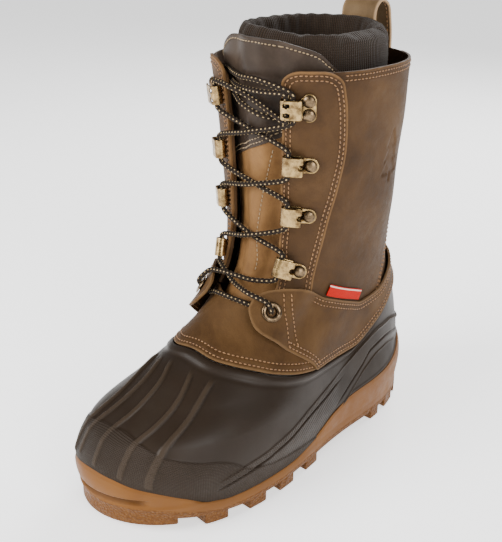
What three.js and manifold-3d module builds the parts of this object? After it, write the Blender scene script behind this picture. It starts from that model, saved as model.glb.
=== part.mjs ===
// Insulated hunting boot, left foot: a rubber-shelled pac boot with a laced leather shaft.
// Millimetres, +Z up, toe towards -Y, outer (lateral) side of the foot towards +X.
import * as THREE from 'three';
import { mergeVertices } from 'three/addons/utils/BufferGeometryUtils.js';
import Module from 'manifold-3d';

const wasm = await Module();
wasm.setup();

// ---------------------------------------------------------------- driving dimensions
// The boot's outer skin, as level sections: the height of each section, its front and back ends
// along Y, its lateral and medial half widths, where along its length it is widest (0 front to
// 1 back), how square its front and back halves are, and how far the arch pinches it.
const sections = [
  { z: 18, front: -153, back: 151, lateral: 57, medial: 57, widest: 0.33, nose: 2.8, tail: 3.4, arch: 7 },
  { z: 40, front: -157, back: 155, lateral: 60, medial: 60, widest: 0.33, nose: 2.8, tail: 3.4, arch: 7 },
  { z: 62, front: -149, back: 154, lateral: 58, medial: 58, widest: 0.36, nose: 2.6, tail: 3.1, arch: 8 },
  { z: 80, front: -118, back: 151, lateral: 53, medial: 53, widest: 0.42, nose: 2.4, tail: 2.9, arch: 7 },
  { z: 100, front: -80, back: 145, lateral: 48, medial: 49, widest: 0.48, nose: 2.3, tail: 2.7, arch: 4 },
  { z: 122, front: -47, back: 135, lateral: 45, medial: 47, widest: 0.52, nose: 2.2, tail: 2.4, arch: 1 },
  { z: 150, front: -22, back: 127, lateral: 46, medial: 49, widest: 0.53, nose: 2.4, tail: 2.2, arch: 0 },
  { z: 190, front: -13, back: 123, lateral: 51, medial: 56, widest: 0.53, nose: 2.8, tail: 2.2, arch: 0 },
  { z: 240, front: -14, back: 122, lateral: 56, medial: 62, widest: 0.52, nose: 2.9, tail: 2.3, arch: 0 },
  { z: 292, front: -19, back: 122, lateral: 60, medial: 68, widest: 0.51, nose: 2.9, tail: 2.3, arch: 0 },
];
const toeSweep = { from: -35, length: 115, inward: 13, power: 1.6 };
const originShift = { x: 3.98, y: -0.54 };

// Edge lines around the boot, as [angle, height]: 0 degrees is the toe, 90 the outer side of
// either half, 180 the heel. Both halves are alike.
const soleLine = [[0, 44], [14, 42], [25, 38], [36, 34], [48, 27], [58, 19.5], [68, 18], [96, 18],
  [104, 23], [111, 33], [119, 39], [134, 40], [146, 43], [158, 51], [180, 58]];
const shellLine = [[0, 104], [25, 100], [45, 95], [62, 89], [82, 82], [100, 77], [112, 75.5],
  [120, 85], [132, 99], [150, 106], [180, 108]];
const strapLine = [[20, 141], [32, 141], [45, 138], [60, 132], [75, 125], [90, 117], [102, 112],
  [114, 113], [130, 121], [150, 130], [180, 134]];

// Lacing: the facings' front edge as [height, angle], the plates' places as [height, angle], and
// the height of the shaft's rim.
const facingFront = [[130, 33], [141, 30], [157, 26], [175, 22], [220, 19.5], [292, 19.5]];
const hookPlace = [269, 30];
const cleatPlaces = [[230, 31.5], [194, 32.5], [154, 35]];
const eyeletPlace = [125.5, 35];
const shaftTop = 291;
const laceRadius = 1.8;

// Stand-offs of the layers from the outer skin.
const leather = { outer: -0.3, inner: -2.2 };
const overlay = { outer: 2.5, inner: 0.8 };
const shellWall = 3.8;
const gap = 0.3;
const floorGap = 0.9;

// ---------------------------------------------------------------- materials
function finish(color, roughness, metalness = 0) {
  return new THREE.MeshStandardMaterial({ color, roughness, metalness });
}
const gum = finish(0xb98e60, 0.62);
const rubber = finish(0x4c4238, 0.5);
const nubuck = finish(0x755635, 0.85);
const smoothLeather = finish(0x4a4037, 0.5);
const knit = finish(0x44382f, 0.95);
const felt = finish(0x8d8678, 1);
const board = finish(0xa58a63, 0.9);
const steel = finish(0x9a9c9e, 0.4, 1);
const brass = finish(0xc8ab78, 0.35, 1);
const cordBlack = finish(0x2c261c, 0.85);
const red = finish(0xd5402a, 0.8);

const boot = new THREE.Group();
function add(name, geometry, material) {
  const mesh = new THREE.Mesh(geometry, material);
  mesh.name = name;
  boot.add(mesh);
  return mesh;
}

// ---------------------------------------------------------------- the boot's skin
function smoothstep(low, high, x) {
  const s = THREE.MathUtils.clamp((x - low) / (high - low), 0, 1);
  return s * s * (3 - 2 * s);
}

// Smooth curve through [x, value] pairs that never overshoots them.
function through(pairs, x) {
  const last = pairs.length - 1;
  if (x <= pairs[0][0]) return pairs[0][1];
  if (x >= pairs[last][0]) return pairs[last][1];
  let i = 0;
  while (x > pairs[i + 1][0]) i += 1;
  const rate = (k) => (pairs[k + 1][1] - pairs[k][1]) / (pairs[k + 1][0] - pairs[k][0]);
  const slope = (k) => {
    if (k === 0) return rate(0);
    if (k === last) return rate(last - 1);
    const before = rate(k - 1);
    const after = rate(k);
    return before * after <= 0 ? 0 : (2 * before * after) / (before + after);
  };
  const width = pairs[i + 1][0] - pairs[i][0];
  const s = (x - pairs[i][0]) / width;
  const rise = s * s * (3 - 2 * s);
  const ease = slope(i) * s * (1 - s) * (1 - s) - slope(i + 1) * s * s * (1 - s);
  return pairs[i][1] + (pairs[i + 1][1] - pairs[i][1]) * rise + width * ease;
}

const sectionKeys = ['front', 'back', 'lateral', 'medial', 'widest', 'nose', 'tail', 'arch'];
const sectionCurves = {};
for (const key of sectionKeys) sectionCurves[key] = sections.map((row) => [row.z, row[key]]);

function skin(angle, z) {
  const s = {};
  for (const key of sectionKeys) s[key] = through(sectionCurves[key], z);
  const t = THREE.MathUtils.degToRad(angle);
  const length = s.back - s.front;
  const middle = s.front + s.widest * length;
  const along = Math.abs(Math.cos(t));
  const ahead = Math.cos(t) > 0;
  const y = ahead ? middle - along * (middle - s.front) : middle + along * (s.back - middle);
  const half = Math.sin(t) >= 0 ? s.lateral : s.medial;
  let width = half * Math.sqrt(Math.max(0, 1 - along ** (ahead ? s.nose : s.tail)));
  const fromArch = ((y - s.front) / length - 0.62) / 0.17;
  width -= s.arch * Math.exp(-fromArch * fromArch) * Math.abs(Math.sin(t)) ** 1.5;
  const sweep = THREE.MathUtils.clamp((toeSweep.from - y) / toeSweep.length, 0, 2);
  const x = Math.sign(Math.sin(t)) * width - toeSweep.inward * sweep ** toeSweep.power;
  return new THREE.Vector3(x + originShift.x, y + originShift.y, z);
}

function outward(angle, z) {
  const across = skin(angle + 1, z).sub(skin(angle - 1, z));
  const up = skin(angle, z + 1.5).sub(skin(angle, z - 1.5));
  return across.cross(up).normalize();
}

function at(angle, z, standOff = 0) {
  return skin(angle, z).addScaledVector(outward(angle, z), standOff);
}

const fold = (angle) => Math.abs(((((angle + 180) % 360) + 360) % 360) - 180);
const soleTop = (angle) => through(soleLine, fold(angle));
const shellTop = (angle) => through(shellLine, fold(angle));
const strapTop = (angle) => through(strapLine, fold(angle));

// Height of every floor layer above its height at the ball of the foot: heel lift and toe spring.
function rise(y) {
  const toe = Math.max(0, (-62 - y) / 95);
  return 8 * smoothstep(-15, 75, y) + 8 * toe ** 1.7;
}

// ---------------------------------------------------------------- closed bodies from grids
function fromFaces(points, faces) {
  const geometry = new THREE.BufferGeometry();
  geometry.setAttribute('position', new THREE.Float32BufferAttribute(points.flatMap((p) => p.toArray()), 3));
  geometry.setIndex(faces);
  return geometry;
}

// Body between two grids of points, [row][column], whose columns run along +t and rows upwards.
function slab(outer, inner) {
  const rows = outer.length;
  const cols = outer[0].length;
  const points = [...outer.flat(), ...inner.flat()];
  const front = (i, j) => i * cols + j;
  const back = (i, j) => rows * cols + i * cols + j;
  const faces = [];
  const quad = (a, b, c, d) => faces.push(a, b, c, a, c, d);
  for (let i = 0; i < rows - 1; i += 1) {
    for (let j = 0; j < cols - 1; j += 1) {
      quad(front(i, j), front(i, j + 1), front(i + 1, j + 1), front(i + 1, j));
      quad(back(i, j), back(i + 1, j), back(i + 1, j + 1), back(i, j + 1));
    }
    quad(front(i, 0), front(i + 1, 0), back(i + 1, 0), back(i, 0));
    const end = cols - 1;
    quad(front(i, end), back(i, end), back(i + 1, end), front(i + 1, end));
  }
  for (let j = 0; j < cols - 1; j += 1) {
    const top = rows - 1;
    quad(front(0, j), back(0, j), back(0, j + 1), front(0, j + 1));
    quad(front(top, j), front(top, j + 1), back(top, j + 1), back(top, j));
  }
  return fromFaces(points, faces);
}

// Body from closed rings of points. With poles, the first and last rings shrink to a point;
// without, the last ring joins the first.
function loft(rings, poles = true) {
  const count = (poles ? rings[1] : rings[0]).length;
  const points = rings.flat();
  const starts = [];
  let total = 0;
  for (const ring of rings) {
    starts.push(total);
    total += ring.length;
  }
  const index = (k, j) => starts[k] + (rings[k].length === 1 ? 0 : j % count);
  const faces = [];
  const steps = poles ? rings.length - 1 : rings.length;
  for (let k = 0; k < steps; k += 1) {
    const next = (k + 1) % rings.length;
    for (let j = 0; j < count; j += 1) {
      const a = index(k, j);
      const b = index(k, j + 1);
      const c = index(next, j + 1);
      const d = index(next, j);
      if (a === b) faces.push(a, c, d);
      else if (c === d) faces.push(a, b, c);
      else if (points[a].distanceTo(points[c]) < points[b].distanceTo(points[d]))
        faces.push(a, b, c, a, c, d);
      else faces.push(a, b, d, b, c, d);
    }
  }
  return fromFaces(points, faces);
}

function solid(geometry) {
  const bare = geometry.clone();
  bare.deleteAttribute('normal');
  bare.deleteAttribute('uv');
  const merged = mergeVertices(bare, 1e-4);
  return new wasm.Manifold(new wasm.Mesh({
    numProp: 3,
    vertProperties: new Float32Array(merged.attributes.position.array),
    triVerts: new Uint32Array(merged.index.array),
  }));
}

function fromSolid(body) {
  const mesh = body.getMesh();
  const geometry = new THREE.BufferGeometry();
  geometry.setAttribute('position', new THREE.Float32BufferAttribute(mesh.vertProperties, 3));
  geometry.setIndex(new THREE.BufferAttribute(mesh.triVerts, 1));
  return geometry;
}

// Sheet of material laid on the boot. place(u, v) gives [angle, height] for u and v from 0 to 1.
function panel({ cols, rows, place, outer, inner }) {
  const grid = (standOff) => {
    const lines = [];
    for (let i = 0; i <= rows; i += 1) {
      const line = [];
      for (let j = 0; j <= cols; j += 1) {
        const [angle, z] = place(j / cols, i / rows);
        const off = typeof standOff === 'function' ? standOff(angle, z) : standOff;
        line.push(at(angle, z, off));
      }
      lines.push(line);
    }
    return lines;
  };
  return slab(grid(outer), grid(inner));
}

// One ring around the boot. level(angle) is the height and lift adds the floor's rise to it.
const ringSteps = 32;
function ring(level, standOff, lift = false) {
  const points = [];
  for (let j = 0; j < ringSteps; j += 1) {
    const angle = (360 * j) / ringSteps;
    let z = typeof level === 'function' ? level(angle) : level;
    if (lift) z += rise(skin(angle, z).y);
    const off = typeof standOff === 'function' ? standOff(angle, z) : standOff;
    points.push(at(angle, z, off));
  }
  return points;
}

// Floor rings: the outline drawn in towards the middle of the foot, on the floor's own curve.
function floorRings(level, standOff, fractions) {
  const rim = ring(level, standOff, true);
  const middle = new THREE.Vector3(originShift.x, originShift.y - 5, 0);
  return fractions.map((f) => {
    if (f === 0) return [new THREE.Vector3(middle.x, middle.y, level + rise(middle.y))];
    return rim.map((p) => {
      const q = middle.clone().lerp(p, f);
      return q.setZ(level + rise(q.y));
    });
  });
}
const inwards = [0, 0.35, 0.7, 1];
const outwards = [1, 0.7, 0.35, 0];

// Flat layer with the boot's outline, such as a board or footbed.
function layer(bottom, thickness, standOff) {
  const low = floorRings(bottom, standOff, inwards);
  const high = floorRings(bottom + thickness, standOff, outwards);
  return loft([...low, ...high]);
}

// ---------------------------------------------------------------- outsole
const webHeight = 8;
const floorHeight = 15;
const groundRise = (y) => 8.5 * Math.max(0, (-75 - y) / 74) ** 1.6;

const heelFlare = (angle) => 3.5 * smoothstep(118, 160, fold(angle));

function soleBody() {
  const web = (angle) => webHeight + groundRise(skin(angle, 18).y);
  const blend = (f) => (angle) => THREE.MathUtils.lerp(web(angle) + 3, soleTop(angle) - 1.2, f);
  const bottom = ring(web, -0.5);
  const middle = new THREE.Vector3(originShift.x, originShift.y - 5, 0);
  const under = inwards.slice(0, 3).map((f) => {
    if (f === 0) return [new THREE.Vector3(middle.x, middle.y, webHeight)];
    return bottom.map((p) => {
      const q = middle.clone().lerp(p, f);
      return q.setZ(webHeight + groundRise(q.y));
    });
  });
  const floorAt = (angle) => floorHeight + rise(skin(angle, floorHeight).y);
  const wall = (f) => (angle) => THREE.MathUtils.lerp(soleTop(angle), floorAt(angle), f);
  return loft([
    ...under,
    bottom,
    ring(blend(0), (angle) => 1.4 + heelFlare(angle)),
    ring(blend(0.5), (angle) => 2 + heelFlare(angle)),
    ring(blend(1), 2),
    ring(soleTop, 1.2),
    ring(soleTop, -1.2),
    ring(wall(0.5), -1.2),
    ...floorRings(floorHeight, -1.2, outwards),
  ]);
}

// Lug: a block whose outer end follows the sole's edge, from y0 to y1 on one side.
function edgeLug(side, y0, y1, reach) {
  const edge = [];
  for (let angle = 2; angle < 180; angle += 2) {
    const p = at(side * angle, 12, 0);
    const y = p.y - originShift.y;
    if (y > y0 && y < y1) edge.push(p);
  }
  const first = edge[0];
  const last = edge[edge.length - 1];
  const inX = side * Math.max(6, Math.min(Math.abs(first.x), Math.abs(last.x)) - reach);
  const outline = edge.filter((p, i) => i % 2 === 0 || i === edge.length - 1);
  const shape = new THREE.Shape();
  shape.moveTo(first.x, y0 + originShift.y);
  for (const p of outline) shape.lineTo(p.x, p.y);
  shape.lineTo(last.x, y1 + originShift.y);
  shape.lineTo(inX, y1 + originShift.y - 3);
  shape.lineTo(inX, y0 + originShift.y + 3);
  const ground = groundRise((y0 + y1) / 2);
  const block = new THREE.ExtrudeGeometry(shape, { depth: webHeight + 2, bevelEnabled: false });
  return block.translate(0, 0, ground);
}

function blockLug(points, y) {
  const shape = new THREE.Shape(points.map(([px, py]) => new THREE.Vector2(px, py)));
  const block = new THREE.ExtrudeGeometry(shape, { depth: webHeight + 2, bevelEnabled: false });
  return block.translate(originShift.x, originShift.y, groundRise(y));
}

function chevron(y, half, depth, centre = 0) {
  const tip = y - 9;
  return blockLug([[centre - half, y], [centre, tip], [centre + half, y], [centre + half, y + depth],
    [centre, tip + depth], [centre - half, y + depth]], y);
}

// Toe bumper: one block under the whole toe, following the sole's edge.
const toeLugEnd = -124;
function toeLug() {
  const edge = [];
  for (let angle = -80; angle <= 80; angle += 4) {
    const p = at(angle, 12, 0.3);
    if (p.y - originShift.y < toeLugEnd) edge.push(new THREE.Vector2(p.x, p.y));
  }
  const block = new THREE.ExtrudeGeometry(new THREE.Shape(edge), { depth: webHeight, bevelEnabled: false });
  return block.translate(0, 0, groundRise(toeLugEnd - 14));
}

const edgeLugs = [[-110, -92], [-78, -58], [-47, -27], [-16, 4], [74, 92], [100, 118], [126, 141]];
const lugReach = 26;
const chevrons = [[-99, 15, 9, -5], [-68, 17, 9, -2], [-37, 17, 9, 0], [-6, 15, 9, 0],
  [88, 11, 8, 0], [112, 11, 8, 0], [134, 10, 8, 0]];

function outsole() {
  let body = solid(soleBody());
  body = body.add(solid(toeLug()));
  for (const [y0, y1] of edgeLugs) {
    for (const side of [1, -1]) body = body.add(solid(edgeLug(side, y0, y1, lugReach)));
  }
  for (const [y, half, depth, centre] of chevrons) body = body.add(solid(chevron(y, half, depth, centre)));
  for (const x of [-14, 6]) {
    const bar = [[x, 18], [x + 8, 18], [x + 8, 62], [x, 62]];
    body = body.add(solid(blockLug(bar, 20).translate(0, 0, 4)));
  }
  return fromSolid(body);
}
add('outsole', outsole(), gum);

// ---------------------------------------------------------------- rubber shell
function rubberShell() {
  const foot = floorHeight + floorGap;
  const ledge = (angle) => soleTop(angle) + gap;
  const climb = (f) => (angle) => THREE.MathUtils.lerp(ledge(angle), shellTop(angle) - 4, f);
  const inside = (f) => (angle) => {
    const floor = foot + 3 + rise(skin(angle, foot).y);
    return THREE.MathUtils.lerp(shellTop(angle) - 2, floor, f);
  };
  const outerWall = [0, 0.14, 0.28, 0.42, 0.58, 0.78, 1].map((f) => ring(climb(f), 0));
  const innerWall = [0, 0.18, 0.36, 0.52, 0.68, 0.84].map((f) => ring(inside(f), -shellWall));
  return loft([
    ...floorRings(foot, -1.5, inwards),
    ring(ledge, -1.5),
    ...outerWall,
    ring((angle) => shellTop(angle) - 1.5, 1.4),
    ring(shellTop, 0.6),
    ring(shellTop, -shellWall + 0.6),
    ...innerWall,
    ...floorRings(foot + 3, -shellWall, outwards),
  ]);
}
add('rubber_shell', rubberShell(), rubber);

// ---------------------------------------------------------------- floor layers and shank
const boardBottom = floorHeight + 3 + 2 * floorGap;
const boardThickness = 3.4;

function shankBody(slack) {
  const half = 8 + slack;
  const ends = [-22 - slack, 98 + slack];
  const low = boardBottom + (slack ? -1 : 0);
  const high = boardBottom + 1.6 + slack;
  const grid = (z) => {
    const lines = [];
    for (let i = 0; i <= 10; i += 1) {
      const y = THREE.MathUtils.lerp(ends[0], ends[1], i / 10);
      const height = z + rise(y);
      lines.push([-half, half].map((x) => new THREE.Vector3(x + originShift.x, y + originShift.y, height)));
    }
    return lines;
  };
  return slab(grid(high), grid(low));
}
add('steel_shank', shankBody(0), steel);

function lastingBoard() {
  const plate = solid(layer(boardBottom, boardThickness, -shellWall - floorGap));
  return fromSolid(plate.subtract(solid(shankBody(0.4))));
}
add('lasting_board', lastingBoard(), board);

// ---------------------------------------------------------------- insulation and lining
const insulationBottom = boardBottom + boardThickness + floorGap;
const insulationWall = 3.6;
const liningWall = 1.2;
const collar = 262;

// The insulation steps in behind the leather and again behind the tongue.
function insulationOff(angle, z) {
  return -(shellWall + 1 + 2.9 * smoothstep(38, 62, z) + 3.9 * smoothstep(92, 116, z));
}

const sockHeights = [52, 66, 80, 95, 110, 126, 142, 162, 200, collar];
function sock(bottom, wall, extra) {
  const outer = (angle, z) => insulationOff(angle, z) - extra;
  const inner = (angle, z) => insulationOff(angle, z) - extra - wall;
  const low = (angle) => 38 + rise(skin(angle, 38).y);
  return loft([
    ...floorRings(bottom, (angle) => outer(angle, bottom), inwards),
    ...[low, ...sockHeights].map((z) => ring(z, outer)),
    ...[low, ...sockHeights].reverse().map((z) => ring(z, inner)),
    ...floorRings(bottom + wall, (angle) => inner(angle, bottom), outwards),
  ]);
}
add('insulation_bootie', sock(insulationBottom, insulationWall, 0), felt);
const liningBottom = insulationBottom + insulationWall + 0.5;
add('lining_bootie', sock(liningBottom, liningWall, insulationWall + 0.5), knit);
const footbedBottom = liningBottom + liningWall + floorGap;
add('footbed', layer(footbedBottom, 5, -13.5), felt);

// ---------------------------------------------------------------- leather upper
const seam = [[0, 133], [25, 133], [45, 126], [70, 112], [95, 100], [110, 96], [125, 101], [150, 112],
  [180, 117]];
const seamLine = (angle) => through(seam, fold(angle));
const seamGap = 0.4;

// The vamp and heel panel run under the shell at their lower edge and end below the ankle strap.
function lowerOff(angle, z) {
  const above = smoothstep(shellTop(angle) + 0.4, shellTop(angle) + 5, z);
  return THREE.MathUtils.lerp(-(shellWall + 1.2), leather.outer, above);
}
const lowerHems = [-9, 0.3, 4.6];
function lowerPanel(from, to, cols) {
  const rows = 6;
  return panel({
    cols,
    rows,
    place: (u, v) => {
      const angle = THREE.MathUtils.lerp(from, to, u);
      const row = Math.round(v * rows);
      const hem = shellTop(angle) + lowerHems[Math.min(row, 2)];
      return [angle, THREE.MathUtils.lerp(hem, seamLine(angle) - seamGap, Math.max(0, row - 2) / (rows - 2))];
    },
    outer: lowerOff,
    inner: (angle, z) => lowerOff(angle, z) - 2,
  });
}
add('vamp', lowerPanel(-104, 104, 26), nubuck);
add('heel_panel', lowerPanel(104.6, 255.4, 16), nubuck);

// ---------------------------------------------------------------- placing fittings on the skin
// A fitting is drawn flat: x runs back from the throat, y up and z out of the leather.
function fittingFrame(side, [z, angle], standOff) {
  const out = outward(side * angle, z);
  const up = skin(side * angle, z + 1).sub(skin(side * angle, z - 1)).normalize();
  const across = up.clone().cross(out).multiplyScalar(side).normalize();
  const frame = new THREE.Matrix4().makeBasis(across, out.clone().cross(across), out);
  return frame.setPosition(at(side * angle, z, standOff));
}
const placed = (geometry, side, place, standOff) =>
  geometry.applyMatrix4(fittingFrame(side, place, standOff));
function fittingPoint(side, place, standOff, x, y, z) {
  return new THREE.Vector3(x, side * y, z).applyMatrix4(fittingFrame(side, place, standOff));
}

// Rivet: a domed cap, a shank through both leathers and a flat burr behind them.
const plateThickness = 0.9;
const plateOff = overlay.outer + 0.5;
const leatherDepth = plateOff - leather.inner + 0.8;
function rivetProfile(cap) {
  const seat = plateThickness + 0.2;
  return [[0, -leatherDepth - 1], [2.8, -leatherDepth - 1], [2.8, -leatherDepth - gap],
    [1.4, -leatherDepth - gap],
    [1.4, seat], [cap, seat], [cap * 0.9, seat + 1.1], [cap * 0.5, seat + 2], [0, seat + 2.2]];
}
function turned(profile, segments) {
  const lathe = new THREE.LatheGeometry(profile.map(([r, h]) => new THREE.Vector2(r, h)), segments);
  return lathe.rotateX(Math.PI / 2);
}
function shankHole(side, place, x, y) {
  const drill = new THREE.CylinderGeometry(2, 2, 16, 8).rotateX(Math.PI / 2).translate(x, y, -2);
  return solid(placed(drill, side, place, plateOff));
}

const hookRivets = [[5.5, 4.6], [5.5, -4.6]];
const cleatRivet = [6, 0];
function shankHoles(side) {
  const holes = hookRivets.map(([x, y]) => shankHole(side, hookPlace, x, y));
  for (const place of cleatPlaces) holes.push(shankHole(side, place, ...cleatRivet));
  return holes;
}
function pierced(geometry, side) {
  let body = solid(geometry);
  for (const hole of shankHoles(side)) body = body.subtract(hole);
  return fromSolid(body);
}

// ---------------------------------------------------------------- shaft leathers
const lapLine = [[100, 117], [117, 121], [135, 128], [152, 138], [172, 147], [200, 152], [292, 152]];
const lapAngle = (z) => through(lapLine, z);
const frontEdge = (z) => through(facingFront, z);
function quarter(side) {
  const place = (u, v) => {
    const s = side > 0 ? u : 1 - u;
    const even = THREE.MathUtils.lerp(32, 118, s);
    const z = THREE.MathUtils.lerp(seamLine(even) + seamGap, shaftTop, v ** 1.7);
    return [side * THREE.MathUtils.lerp(frontEdge(z), lapAngle(z), s), z];
  };
  return panel({ cols: 13, rows: 7, place, outer: leather.outer, inner: leather.inner });
}

function backStay() {
  const place = (u, v) => {
    const even = THREE.MathUtils.lerp(118.5, 241.5, u);
    const z = THREE.MathUtils.lerp(seamLine(even) + seamGap, shaftTop, v ** 1.5);
    const lap = lapAngle(z) + 0.9;
    return [THREE.MathUtils.lerp(lap, 360 - lap, u), z];
  };
  return panel({ cols: 10, rows: 8, place, outer: leather.outer - 0.6, inner: leather.inner - 0.4 });
}
add('back_stay', backStay(), nubuck);

const facingRear = [[133, 56], [148, 52], [182, 51], [211, 55], [239, 58], [266, 57], [292, 53]];
function facing(side) {
  const place = (u, v) => {
    const s = side > 0 ? u : 1 - u;
    const even = THREE.MathUtils.lerp(31, 55, s);
    const z = THREE.MathUtils.lerp(strapTop(even) + 1.2, shaftTop + 1, v ** 1.3);
    return [side * THREE.MathUtils.lerp(frontEdge(z), through(facingRear, z), s), z];
  };
  return panel({ cols: 5, rows: 8, place, outer: overlay.outer, inner: overlay.inner });
}

// Ankle strap: wraps the heel and ends on each side of the throat in a round flap that stands
// off the vamp, so that the lace can pass under it to the eyelet.
const flapLift = (angle) => 6 * (1 - smoothstep(43, 62, fold(angle)));
const flapEdge = [[80, 90], [88, 79], [97, 63], [105, 51], [111, 40], [116, 31], [122, 23], [129, 19],
  [135, 20], [141, 24]];
const strapOuter = (angle) => overlay.outer + 0.3 + flapLift(angle);
const strapInner = (angle) => overlay.inner + flapLift(angle);
const strapBottom = (angle) => shellTop(angle) + 2.4;
function ankleStrap(side) {
  const place = (u, v) => {
    const s = side > 0 ? u : 1 - u;
    const front = through(flapEdge, THREE.MathUtils.lerp(80, 141, v));
    const angle = THREE.MathUtils.lerp(front, 179.7, s);
    const edge = THREE.MathUtils.lerp(80, 141, v);
    const even = THREE.MathUtils.lerp(strapBottom(angle), strapTop(angle), v);
    return [side * angle, THREE.MathUtils.lerp(edge, even, smoothstep(0, 0.22, s))];
  };
  return panel({ cols: 18, rows: 6, place, outer: strapOuter, inner: strapInner });
}

const eyeletOff = strapOuter(eyeletPlace[1]);
function eyeletShape() {
  const r = 3.2;
  return turned([[r, -4.4], [r + 0.7, -4.4], [r + 0.7, 0.9], [7.2, 0.9], [7, 1.4], [5.2, 2], [r + 0.8, 1.7],
    [r, 1.1], [r, -4.4]], 12);
}
function washerShape() {
  return turned([[4.3, -4.4], [6, -4.4], [6, -3.8], [4.3, -3.8], [4.3, -4.4]], 12);
}
function eyeletHole(side) {
  const drill = new THREE.CylinderGeometry(4.2, 4.2, 14, 12).rotateX(Math.PI / 2);
  return solid(placed(drill, side, eyeletPlace, eyeletOff));
}

for (const [side, name] of [[1, 'lateral'], [-1, 'medial']]) {
  add(`quarter_${name}`, pierced(quarter(side), side), nubuck);
  add(`facing_${name}`, pierced(facing(side), side), nubuck);
  add(`ankle_strap_${name}`, fromSolid(solid(ankleStrap(side)).subtract(eyeletHole(side))), nubuck);
  add(`eyelet_${name}`, placed(eyeletShape(), side, eyeletPlace, eyeletOff), brass);
  add(`eyelet_washer_${name}`, placed(washerShape(), side, eyeletPlace, eyeletOff), brass);
}

// ---------------------------------------------------------------- tongue
// It lies behind the facings and swells forward between them.
const tongueRest = -8;
function tongueOff(angle, z) {
  return tongueRest + 5.2 * (1 - smoothstep(3, 17, fold(angle))) * smoothstep(134, 148, z);
}
const tongueWall = 1.8;
const tongueJoin = (angle) => 240 + 0.5 * angle;
const tongueTopEdge = [[-56, 286], [-46, 293], [-34, 302], [-20, 309], [0, 310], [12, 309], [26, 306],
  [40, 302],
  [50, 294], [58, 286]];
function tonguePart(from, to, low, high, rows, name, material) {
  const place = (u, v) => {
    const angle = THREE.MathUtils.lerp(from, to, u);
    return [angle, THREE.MathUtils.lerp(low(angle), high(angle), v)];
  };
  const inner = (angle, z) => tongueOff(angle, z) - tongueWall;
  add(name, panel({ cols: 16, rows, place, outer: tongueOff, inner }), material);
}
tonguePart(-44, 44, () => 124, (angle) => tongueJoin(angle) - 0.3, 6, 'tongue_lower', nubuck);
tonguePart(-56, 56, tongueJoin, (angle) => through(tongueTopEdge, angle), 5, 'tongue_upper', smoothLeather);

// Gussets: thin bellows from the tongue's edges to the quarters.
for (const [side, name] of [[1, 'lateral'], [-1, 'medial']]) {
  const place = (u, v) => {
    const s = side > 0 ? u : 1 - u;
    return [side * THREE.MathUtils.lerp(43.5, 62, s), THREE.MathUtils.lerp(140, 222, v)];
  };
  const outer = (angle) => THREE.MathUtils.lerp(-6.1, -3.2, smoothstep(43, 62, fold(angle)));
  const inner = (angle) => outer(angle) - 1;
  add(`gusset_${name}`, panel({ cols: 5, rows: 6, place, outer, inner }), smoothLeather);
}

// ---------------------------------------------------------------- hooks, cleats and rivets
function flatPlate(outline, holes) {
  const shape = new THREE.Shape(outline.map(([x, y]) => new THREE.Vector2(x, y)));
  for (const [x, y, r] of holes) shape.holes.push(new THREE.Path().absarc(x, y, r, 0, Math.PI * 2, true));
  return new THREE.ExtrudeGeometry(shape, { depth: plateThickness, bevelEnabled: false, curveSegments: 5 });
}
function arcPoints(x, y, r, from, to, steps) {
  const points = [];
  for (let i = 0; i <= steps; i += 1) {
    const a = THREE.MathUtils.degToRad(THREE.MathUtils.lerp(from, to, i / steps));
    points.push([x + r * Math.cos(a), y + r * Math.sin(a)]);
  }
  return points;
}

const bendHeight = 6.2;
const bendWidth = 13;
function acrossPlate(outline, hole) {
  const edge = outline.map(([x, z]) => new THREE.Vector2(x, z));
  if (THREE.ShapeUtils.isClockWise(edge)) edge.reverse();
  const shape = new THREE.Shape(edge);
  if (hole) shape.holes.push(new THREE.Path(hole.map(([x, z]) => new THREE.Vector2(x, z))));
  const bent = new THREE.ExtrudeGeometry(shape, { depth: bendWidth, bevelEnabled: false });
  return bent.rotateX(Math.PI / 2).translate(0, bendWidth / 2, 0);
}
const bendCentre = [-9.2, bendHeight / 2];
const bendOuter = arcPoints(...bendCentre, bendHeight / 2, 270, 90, 7);
const bendInner = arcPoints(...bendCentre, bendHeight / 2 - plateThickness, 90, 270, 7);

// Cleat: the stamped plate is folded over at the front and closed down on itself.
function cleat() {
  const tab = [[-9, -6.5], [-1, -6.5], [2, -5.4], ...arcPoints(6, 0, 5.4, -80, 80, 8), [2, 5.4],
    [-1, 6.5], [-9, 6.5]];
  const plate = flatPlate(tab, [[6, 0, 1.7]]);
  const low = plateThickness;
  const high = bendHeight - plateThickness;
  const outline = [[0.4, 0], ...bendOuter, [-1, bendHeight], [0.4, bendHeight - 1.2]];
  const tunnel = [[-0.5, low], ...bendInner.toReversed(), [-1.2, high], [-0.5, high - 0.6]];
  const loop = acrossPlate(outline, tunnel);
  const slot = new THREE.CylinderGeometry(2.3, 2.3, 20, 10).rotateX(Math.PI / 2).translate(1.2, 0, 0);
  return solid(plate).add(solid(loop)).subtract(solid(slot));
}

// Hook: the same fold left open at the back, with two pressed windows in its bend.
function hook() {
  const lobes = [...arcPoints(5.5, -4.6, 4.9, -110, 20, 5), ...arcPoints(5.5, 4.6, 4.9, -20, 110, 5)];
  const base = [[-9, -5], [-1, -4.6], ...lobes, [-1, 4.6], [-9, 5]];
  const plate = flatPlate(base, hookRivets.map(([x, y]) => [x, y, 1.7]));
  const high = bendHeight - plateThickness;
  const outline = [[-7, 0], ...bendOuter, [-0.2, bendHeight], [0.6, bendHeight - 0.4], [0.2, high - 0.5],
    [-0.6, high], ...bendInner, [-7, plateThickness]];
  let body = solid(plate).add(solid(acrossPlate(outline)));
  for (const y of [-3.2, 3.2]) {
    const punch = new THREE.BoxGeometry(2.4, 2.2, 3).translate(-9.4, y, bendHeight);
    body = body.subtract(solid(punch));
  }
  return body;
}

const laid = (body, side, place) => placed(fromSolid(body), side, place, plateOff);

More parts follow.
